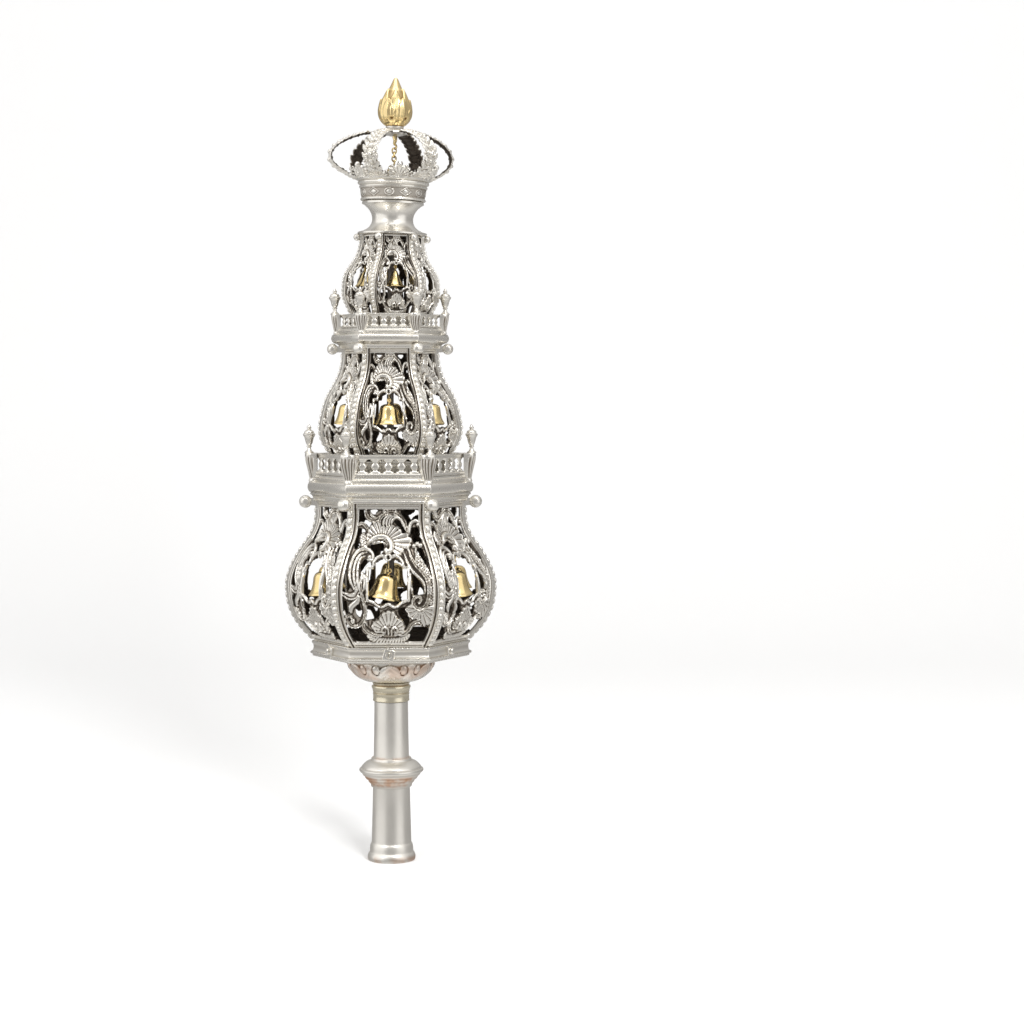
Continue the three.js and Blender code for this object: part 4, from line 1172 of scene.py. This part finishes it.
nuts = []
for face, turn in enumerate((16, -8, 30, 5, 40, 21)):
    nut = moved(slotted_nut("nut", 37.3, turn), round_axis(60 * face))
    set_tarnish_and_shade(nut, tarnish_and_shade_of(nut, 2.5, 1))
    nuts.append(nut)
settle(joined("tray", [tray, *nuts]), "base_rim", silver)
print("tray with", len(nuts), "nuts")

# %% Tie rod
rod = tube("tie_rod", [(0, 0, 101.4), (0, 0, 200), (0, 0, 285), (0, 0, 294), (0.25, 0, 303),
    (1.3, 0, 347.5)], 1.9, sides=20, steps=3)
settle(rod, "central_rod", iron)

# %% [markdown]
# Between the storeys lie two cornices of the same make: a hollow, a fat half-round and a stepped
# plinth, floored across. On each stands a gallery of vase balusters, with a fluted leaf bracket
# and a covered urn at every corner.

# %% Cornices
CORNICES = { "lower": [(38.2, 199.4), (42.5, 199.4), (43, 199.7), (43, 200.6), (42.7, 201),
    (42.9, 201.9), (43.5, 202.7), (44.2, 203.1), (44.3, 203.8), (43.7, 204.1), (44.6, 204.5),
    (45.3, 205.3), (45.6, 206.4), (45.7, 207.4), (45.5, 208.6), (45.0, 209.5), (44.3, 210.1),
    (43.6, 210.3), (43.3, 210.6), (43.3, 211.2), (43.9, 211.4), (43.9, 212.1), (43.2, 212.4),
    (42.6, 212.6), (42.6, 213.7), (2.4, 213.7), (2.4, 212.1), (38.2, 212.1)],
    "upper": [(24.7, 282.7), (27.7, 282.7), (28, 283), (28, 283.7), (28.2, 284.5), (28.8, 285.1),
    (29.7, 285.5), (30.9, 285.8), (31.8, 286.6), (32.3, 287.6), (32.4, 288.5), (32.1, 289.5),
    (31.5, 290.3), (30.7, 290.8), (30.0, 291.0), (29.9, 291.6), (30.4, 291.8), (30.4, 292.4),
    (29.7, 292.7), (29.4, 293.7), (2.4, 293.7), (2.4, 292.3), (24.7, 292.3)], }
for tier, profile in CORNICES.items():
    cornice = hexagonal(tier + "_moulding", profile, 0.25)
    values = darkened_inside(cornice, profile[0][0] + 0.5, profile[0][1] + 0.2,
        profile[-1][1] + 0.1, 2.2)
    settle(cornice, tier + "_cornice", silver, tarnish_and_shade=values)

# %% Parts of a gallery
BALUSTER = [(0, 0), (3.0, 0), (3.05, 0.6), (2.7, 0.95), (1.5, 1.25), (1.15, 1.7), (1.3, 2.2),
    (2.0, 2.8), (2.35, 3.6), (2.2, 4.4), (1.5, 5.1), (1.15, 5.6), (1.2, 6.0), (1.7, 6.4),
    (2.4, 6.9), (3.2, 7.7), (0, 7.7)]
URN = [(0, 0), (2.3, 0), (2.45, 0.35), (2.1, 0.8), (1.4, 1.4), (0.95, 2.2), (0.85, 3.1),
    (1.3, 3.4), (1.3, 3.9), (0.95, 4.2), (1.3, 4.7), (1.75, 5.6), (2.05, 7.0), (2.4, 8.4),
    (2.9, 9.3), (3.1, 9.6), (3.15, 10.3), (2.8, 10.6), (2.5, 10.75), (2.55, 11.2), (2.2, 11.9),
    (1.4, 12.4), (0.85, 12.8), (0.8, 13.1), (1.15, 13.5), (1.15, 14.0), (0.7, 14.4), (0.5, 15.3),
    (0, 15.5)]


def leaf_bracket(name, top_z, foot_z, top_width, foot_width, out_top, out_foot, root):
    """A console like a folded leaf: flutes run down it and gather at a small curled foot."""
    down = np.linspace(0, 1, 56)
    half = np.interp(down, (0, 0.05, 0.3, 0.6, 0.85, 0.93, 1), (0.96, 1.0, 0.92, 0.72, 0.5, 0.52,
        0.38)) * top_width / 2
    half = half * np.interp(down, (0, 1), (1, foot_width / top_width / 0.5))
    out = np.interp(down, (0, 0.06, 0.25, 0.55, 0.84, 0.93, 1), (0.9, 1.0, 0.93, 0.5, 0.12, 0.3,
        0.1))
    out = out_foot + (out_top - out_foot) * out
    z = top_z + (foot_z - top_z) * down
    turn = np.linspace(-math.pi / 2, math.pi / 2, 61)
    rows, hollows = [], []
    for w, o, height, t in zip(half, out, z, down):
        spread, share = np.sin(turn), turn / (math.pi / 2)
        wave = np.cos(2 * math.pi * (share * 3.5 + 0.35 * math.sin(t * 4)))
        fade = np.clip((t - 0.09) * 14, 0, 1) * np.clip((0.9 - t) * 10, 0, 1)
        flute = fade * (0.5 - 0.5 * wave) ** 1.5 * np.clip((0.97 - np.abs(share)) * 12, 0, 1)
        push = 0.65 * flute * np.clip(w / 4.5, 0.5, 1)
        x = root + (o - root) * np.cos(turn) ** 0.62 - push * np.cos(turn) ** 0.4
        y = (w - push * np.abs(spread)) * np.sign(turn) * np.abs(spread) ** 0.9
        rows.append(np.vstack([np.stack([x, y, np.full(len(turn), height)], axis=-1),
            [[root - 1, w, height], [root - 1, -w, height], [x[0], y[0], height]]]))
        # Tarnish and painted shade in the flutes.
        hollows.append(np.append(0.8 * flute ** 0.8, [0, 0, 0]))
    piece = formed(name, np.stack(rows))
    set_tarnish_and_shade(piece, np.array(hollows).ravel())
    close_up(piece, fill=True)
    set_tarnish_and_shade(piece, np.maximum(read_tarnish_and_shade(piece), tarnish_and_shade_of(piece, 2.0, 1)))
    return piece


GALLERIES = { "lower": dict(bottom=214.0, ledge=215.7, rail=223.2, top=225.6, radius=42.2,
    wall=2.0, count=5, pitch=7.0, bracket=(225.7, 209.3, 9.8, 4.8, 47.0, 44.2, 41.2),
    urn=(1.08, 1.02, 44.6)), "upper": dict(bottom=294.0, ledge=294.9, rail=299.9, top=301.4,
    radius=28.9, wall=1.6, count=4, pitch=5.2, bracket=(301.5, 290.5, 8.0, 3.8, 32.3, 30.6, 28.2),
    urn=(1.03, 0.92, 30.2)), }
for tier, g in GALLERIES.items():
    radius, inner = g["radius"], g["radius"] - g["wall"]
    ledge = hexagonal(tier + "_ledge", [
        (inner, g["bottom"]), (radius + 0.3, g["bottom"]), (radius + 0.5, g["bottom"] + 0.4),
        (radius + 0.2, g["ledge"] - 0.3), (radius - 0.2, g["ledge"]), (inner, g["ledge"])], 0.12)
    rail = hexagonal(tier + "_rail", [(inner, g["rail"]), (radius - 0.2, g["rail"]),
        (radius, g["rail"] + 0.4), (radius, g["top"] - 0.9), (radius + 0.35, g["top"] - 0.6),
        (radius + 0.35, g["top"] - 0.1), (radius, g["top"]), (inner, g["top"])], 0.12)
    tall = (g["rail"] - g["ledge"] + 0.2) / BALUSTER[-1][1]
    wide = g["pitch"] / 7.0
    post = turned(tier + "_post", [(r * wide, z * tall) for r, z in BALUSTER], steps=16)
    moved(post, Matrix.Diagonal((1, 0.3, 1, 1)))
    bracket = leaf_bracket(tier + "_bracket", *g["bracket"])
    wider, taller, reach = g["urn"]
    urn = moved(turned(tier + "_urn", [(r * wider, z * taller) for r, z in URN], steps=28),
                shift(reach, 0, g["top"]))
    for part in (post, urn, ledge, rail):
        set_tarnish_and_shade(part, tarnish_and_shade_of(part, 2.4, 1))
    corner = joined(tier + "_corner", [bracket, urn])
    parts = [ledge, rail]
    for face in range(FACES):
        for i in range(g["count"]):
            across = (i - (g["count"] - 1) / 2) * g["pitch"]
            parts.append(copy_of(post, "post", round_axis(60 * face) @ shift(
                across, -(inner + radius) / 2 * SLANT, g["ledge"] - 0.1)))
        parts.append(copy_of(corner, "corner", round_axis(60 * face)))
    for template in (post, corner):
        bpy.data.objects.remove(template)
    gallery = settle(joined(tier + "_gallery", parts), tier + "_balustrade", silver)
    print(tier, "gallery:", len(gallery.data.polygons), "faces")

# %% [markdown]
# The neck is a plain waisted spool. The crown on it has a moulded circlet with lozenges and
# ovals, six bowed straps covered in leaves and pearls, and palmettes between them. It leans and
# turns with the top storey.

# %% Neck
neck = turned("spool_neck", [(2.4, 344.7), (18.6, 344.7), (19, 345), (19, 345.8), (18.6, 346.1),
    (17.2, 346.3), (16.4, 346.7), (14.2, 347.8), (12.6, 349.2), (11.6, 350.8), (11.2, 352.6),
    (11.25, 354.2), (11.7, 356), (12.6, 357.8), (14.0, 359.5), (15.6, 360.8), (16.3, 361.2),
    (16.9, 361.4), (16.9, 362.4), (16.6, 362.7), (14.7, 362.7), (9.9, 353.6), (9.9, 349.6),
    (12.2, 346), (2.4, 346)], steps=96)
moved(neck, LEAN)
settle(neck, "neck", silver, gain=1.5)

# %% Circlet with its band of lozenges
turns = np.linspace(0, 2 * math.pi, 361)
band_line = [(17.0, 363.05), (17.6, 363.2), (17.9, 363.7), (17.7, 364.3), (17.2, 364.6)]
band_line += [(17.15 + 0.06 * i, 364.9 + 0.36 * i) for i in range(14)]
band_line += [(18.1, 369.9), (18.6, 370.2), (18.7, 370.8), (18.3, 371.3), (18.5, 371.7),
    (19.2, 372), (19.6, 372.5), (19.5, 373.2), (19.1, 373.5), (19.5, 373.9), (20.2, 374.3),
    (20.4, 374.9), (20.0, 375.3), (18.6, 375.3), (18.2, 372.5), (16.2, 365), (15.4, 364.4),
    (0.01, 364.4), (0.01, 363), (17.0, 363.05)]
band_line = np.array(band_line)
grid_turn, grid_r = np.meshgrid(turns, band_line[:, 0], indexing="ij")
grid_z = np.meshgrid(turns, band_line[:, 1], indexing="ij")[1]
place_x = ((grid_turn / (2 * math.pi) * 12) % 1.0 - 0.5) * 2 * math.pi * 17.4 / 12
rise = grid_z - 367.2
lozenge = np.abs(place_x) / 3.6 + np.abs(rise) / 2.2
oval = np.hypot(place_x / 2.6, rise / 1.9)
odd = (np.floor(grid_turn / (2 * math.pi) * 12) % 2) == 1
form = np.where(odd, lozenge, oval)
lift = np.exp(-(((form - 0.92) / 0.13) ** 2)) * 0.35 + np.clip(1 - form / 0.62, 0, 1) ** 0.5 * 0.45
beads = 0.22 * np.abs(np.sin(grid_turn * 48)) * (np.abs(np.abs(rise) - 2.35) < 0.3)
on_band = (np.abs(rise) < 2.5) & (grid_r > 17)
grid_r = grid_r + np.where(on_band, lift + beads, 0)
circlet = formed("circlet", np.stack([grid_r * np.cos(grid_turn), grid_r * np.sin(grid_turn),
    grid_z], axis=-1))
# Tarnish and painted shade: darker round the raised forms of the band, and on the inside.
set_tarnish_and_shade(circlet, np.where(on_band, np.clip(0.5 - lift * 1.3, 0, 1), np.where(grid_r < 16.4,
    0.85, 0)).ravel())
close_up(circlet)
set_tarnish_and_shade(circlet, np.clip(read_tarnish_and_shade(circlet) + tarnish_and_shade_of(circlet, 2.5, 0) * 0.6, 0, 1))


# %% [markdown]
# Straps and palmettes are carved like the faces of the tower: drawn on a flat strip, cut out
# along the drawing's own edge, bent to shape and given a thickness.

# %% Carved strips
def carved_strip(name, width, length, cells, draw, bend, thickness):
    across = np.linspace(-width / 2, width / 2, cells[0])
    along = np.linspace(-1, length, cells[1])
    z, x = np.meshgrid(along, across, indexing="ij")
    relief = Relief(x, z)
    draw(relief)
    edge, height = relief.added, relief.height
    cell = (across[1] - across[0] + along[1] - along[0]) / 2
    slope_z, slope_x = np.gradient(edge, along, across)
    steep = np.clip(slope_x**2 + slope_z**2, 0.25, 4)
    near = np.abs(edge) < 0.6 * cell
    x, z = np.where(near, x - edge * slope_x / steep, x), np.where(near,
        z - edge * slope_z / steep, z)
    edge = np.where(near, 0, edge)
    piece = formed(name, bend(x, z, height))
    face_towards(piece, bend(x, z, height + 0.1) - bend(x, z, height))
    # Tarnish and painted shade: the low ground darkens, and the back is darker still.
    set_tarnish_and_shade(piece, np.clip(0.62 - height / 1.1, 0, 1).ravel())
    delete_points(piece, (edge < -1e-6).ravel(), triangles=True)
    keep_largest(piece)
    values = np.clip(read_tarnish_and_shade(piece) * 0.7 + tarnish_and_shade_of(piece, 4.0, 1) * 0.7, 0, 1)
    return thicken(piece, thickness, values, 0.9)


def draw_strap(r):
    """Leaves in pairs along a strap, springing from a fan at its foot. Pearls are added later."""
    r.stroke(3.4, 0.45, (0, -1), (0, 12), (0, 30), (0, 52), ends=(1.1, 0.8))
    r.fan((0, 0.5), 1.35, 7, [(-4.9, 1.5), (-4.9, 5), (-3.0, 8.0), (0, 9.4), (3.0, 8.0), (4.9, 5),
        (4.9, 1.5)])
    for z in np.arange(8.5, 46, 4.3):
        for side in (-1, 1):
            r.stroke(1.35, 1.15, (0.4 * side, z - 2.0), (2.2 * side, z - 1.2), (4.1 * side,
                z + 1.8), kind="leafy", nick=1.0, ends=(0.7, 0.5))
            r.stroke(0.55, 1.3, (1.0 * side, z + 0.2), (2.4 * side, z + 1.8), (1.6 * side, z + 3.2))


PEARLS = [(11.8, 1.05), (15.2, 1.15), (18.6, 1.25), (22.4, 1.25), (26.0, 1.2), (29.4, 1.15),
    (32.6, 1.05), (35.6, 0.95), (38.4, 0.9), (41.0, 0.8), (43.4, 0.75), (45.6, 0.7)]


def pearl(place, radius):
    drop = ball("pearl", place, radius, rings=10)
    set_tarnish_and_shade(drop, np.zeros(len(drop.data.vertices)))
    return drop


def draw_palmette(r):
    r.fan((0, 0.5), 1.6, 9, [(-5.2, 0.2), (-5.4, 3.5), (-3.8, 6.4), (0, 8.4), (3.8, 6.4),
        (5.4, 3.5), (5.2, 0.2)])
    r.knob((0, 8.6), 1.3, 2.2)
    for side in (-1, 1):
        r.stroke(1.0, 1.8, (5.6 * side, 0), (5.0 * side, 2.6), (3.0 * side, 3.2), (2.4 * side,
            1.6), kind="channel")
        r.knob((4.8 * side, 5.4), 0.8, 1.7)


def strap_spine(stretch):
    points = [(18.9, 375.0), (23.6, 377.2), (28.6, 380.0), (31.8, 383), (32.9, 386), (32.2, 389.4),
        (29.2, 393), (24, 396.3), (17.5, 398.9), (11, 400.3), (5.2, 400.9)]
    line = smooth_line([(r + stretch * max(0, (r - 19.2) / 14.6), z) for r, z in points], 10)
    return line, np.concatenate([[0], np.cumsum(np.hypot(*np.diff(line, axis=0).T))])


def bend_strap(stretch):
    line, along = strap_spine(stretch)

    def bend(x, z, height):
        radius, up = np.interp(z, along, line[:, 0]), np.interp(z, along, line[:, 1])
        dr = np.interp(z + 0.4, along, line[:, 0]) - np.interp(z - 0.4, along, line[:, 0])
        dz = np.interp(z + 0.4, along, line[:, 1]) - np.interp(z - 0.4, along, line[:, 1])
        size = np.hypot(dr, dz) + 1e-9
        narrow = np.clip((radius - 1) / 8.5, 0.35, 1)
        return np.stack([radius + height * dz / size, x * narrow, up - height * dr / size], axis=-1)
    return bend


for i in range(FACES):
    stretch = -1.8 * math.cos(math.radians(60 * i + SCREWED))
    total = strap_spine(stretch)[1][-1]
    bend = bend_strap(stretch)
    strap = carved_strip("strap", 10.6, min(total, 52.0), (46, 190), draw_strap, bend, 0.9)
    pearls = []
    for along, radius in PEARLS:
        x, y, z = bend(np.array(0.0), np.array(along), np.array(0.5 + 0.4 * radius))
        pearls.append(pearl((float(x), 0, float(z)), radius))
    strap = joined("strap", [strap, *pearls])
    moved(strap, LEAN @ round_axis(60 * i))
    strap.name = strap.data.name = f"crown_strap_{i + 1}"
    settle(strap, f"crown_arch_{i + 1}", silver)
print("straps:", FACES, "of", len(strap.data.polygons), "faces, length", round(float(total), 1))


def bend_palmette(x, z, height):
    lean = math.radians(38)
    radius = 18.9 + (z + 0.5) * math.sin(lean) + height * math.cos(lean)
    angle = x / 20.5
    return np.stack([radius * np.sin(angle), -radius * np.cos(angle),
        374.6 + (z + 0.5) * math.cos(lean) - height * math.sin(lean)], axis=-1)


PALMETTE_PEARLS = [(-19, 21.6, 377.3, 1.0), (19, 21.6, 377.3, 1.0), (-10, 22.6, 380.2, 0.9),
                   (10, 22.6, 380.2, 0.9), (0, 24.2, 381.6, 1.1)]
palmettes = []
for i in range(FACES):
    leaf = carved_strip("palmette", 16, 10, (64, 50), draw_palmette, bend_palmette, 0.8)
    palmettes.append(moved(leaf, round_axis(60 * i)))
    for angle, reach, up, radius in PALMETTE_PEARLS:
        turn = math.radians(60 * i + angle)
        palmettes.append(pearl((reach * math.sin(turn), -reach * math.cos(turn), up), radius))
band = joined("crown_circlet", [circlet, *palmettes])
moved(band, LEAN)
settle(band, "crown_band", silver)

# %% Boss, crown bell and its chain
boss = turned("crown_button", [(0, 398.4), (2.4, 398.5), (6.4, 399.3), (6.9, 400.3), (6.4, 401.2),
    (5.2, 401.7), (4.6, 402.2), (4.6, 402.8), (4.95, 403.1), (5.0, 403.6), (4.6, 403.9),
    (0, 403.9)], steps=48)
settle(moved(boss, LEAN), "crown_boss", silver)
shell = turned("crown_shell", bell_profile(5.2, 10.5, ROUND, 0.5), steps=40)
moved(shell, shift(0, 0, 383.1))
links = [tube("link", [(0, 0, 383), (0.3, 0, 384.4), (-0.2, 0, 385.6)], 0.5)]
for i, turn in enumerate((0.3, 1.5, 0.2)):
    link_place = shift(0, 0, 386.4 + i * 2.1) @ Matrix.Diagonal((1, 1, 1.25, 1))
    links.append(moved(wire_ring(1.2, 0.42, 18, turn), link_place))
links.append(tube("hook", [(0, 0, 391.4), (0.9, 0, 392), (0.9, 0, 393.6), (0, 0, 394.4),
    (0.4, 0, 396.4), (0, 0, 398.9)], 0.75, taper=[(0, 0.6), (0.6, 1), (1, 1.9)]))
crown_bell = moved(joined("crown_gilt_bell", [shell, *links]), LEAN)
settle(crown_bell, "crown_bell", gilt, gain=1.5)

# %% [markdown]
# The bud is a closed flower of overlapping gilt leaves with a smooth point. Its skin is one grid
# wrapped round the axis. Each leaf is a long oval that stands off more and more towards its tip,
# and the rows lie between each other like tiles, so a point takes the height of the highest leaf
# over it.

# %% Bud
def petals(angle, z, foot, tip, offset, count, width, lift):
    """Height of a row of pointed leaves: steep edges, a midrib, and tips that stand off."""
    t = np.clip((z - foot) / (tip - foot), 0, 1)
    phase = (angle * count / (2 * math.pi) + offset) % 1.0 - 0.5
    half = width * np.sin(math.pi * np.clip(0.16 + 0.84 * t, 0, 1)) ** 0.6
    inside = np.clip(1 - (np.abs(phase) / (half + 1e-6)) ** 3, 0, 1)
    rib = 0.22 * np.exp(-((phase / 0.05) ** 2))
    rib = rib - 0.12 * np.exp(-(((np.abs(phase) - 0.17) / 0.06) ** 2))
    on = (t > 0) & (t < 1) & (inside > 0)
    return np.where(on,
        lift * (0.35 + 0.65 * t ** 1.6) * inside ** 0.35 + rib * np.sin(math.pi * t), 0)


turns = np.linspace(0, 2 * math.pi, 289)
rows = np.linspace(0, 1, 150)
body = smooth_line([(4.4, 404), (5.2, 404.4), (7.0, 406.2), (8.1, 408.6), (8.4, 411.3),
    (8.0, 414.2), (7.0, 417.6), (5.7, 420.6), (4.6, 422.6), (3.7, 424), (2.6, 426.4), (1.3, 429.2),
    (0.7, 429.9), (0.02, 430)], 12)
spaced = np.linspace(0, 1, len(body))
bud_r, bud_z = np.interp(rows, spaced, body[:, 0]), np.interp(rows, spaced, body[:, 1])
grid_turn, grid_r = np.meshgrid(turns, bud_r, indexing="ij")
grid_z = np.meshgrid(turns, bud_z, indexing="ij")[1]
height = petals(grid_turn, grid_z, 405.5, 424.0, 0.1, 6, 0.44, 1.25)
height = np.maximum(height, petals(grid_turn, grid_z, 403.9, 418.6, 0.6, 6, 0.4, 1.55))
height = np.maximum(height, petals(grid_turn, grid_z, 403.9, 412.5, 0.1, 6, 0.3, 1.1))
from_hole = (grid_turn * 6 / (2 * math.pi) + 0.35) % 1.0 - 0.5
hole = np.exp(-(from_hole * 9) ** 2 - ((grid_z - 407.6) / 0.8) ** 2)
grid_r = grid_r + height * np.clip((grid_r - 1.5) / 2.5, 0, 1) - 0.8 * hole
skin = np.stack([grid_r * np.cos(grid_turn), grid_r * np.sin(grid_turn), grid_z], axis=-1)
base = np.stack([0.01 * np.cos(turns), 0.01 * np.sin(turns), np.full(len(turns), 404.0)], axis=-1)
bud = formed("gilt_bud", np.concatenate([base[:, None], skin], axis=1))
# Tarnish and painted shade in the valleys between the leaves, and a painted dark spot in each small
# dent.
dark = np.clip(0.75 - height * 1.5, 0, 1) * (grid_z < 423) + 1.5 * hole
set_tarnish_and_shade(bud, np.hstack([np.zeros((len(turns), 1)), np.clip(dark, 0, 1)]).ravel())
close_up(bud, fill=True)
moved(bud, LEAN)
settle(bud, "bud", gilt, tarnish_and_shade=np.clip(read_tarnish_and_shade(bud) * 0.6 + tarnish_and_shade_of(bud, 3,
    1) * 0.8, 0, 1))
print("bud:", len(bud.data.polygons), "faces")
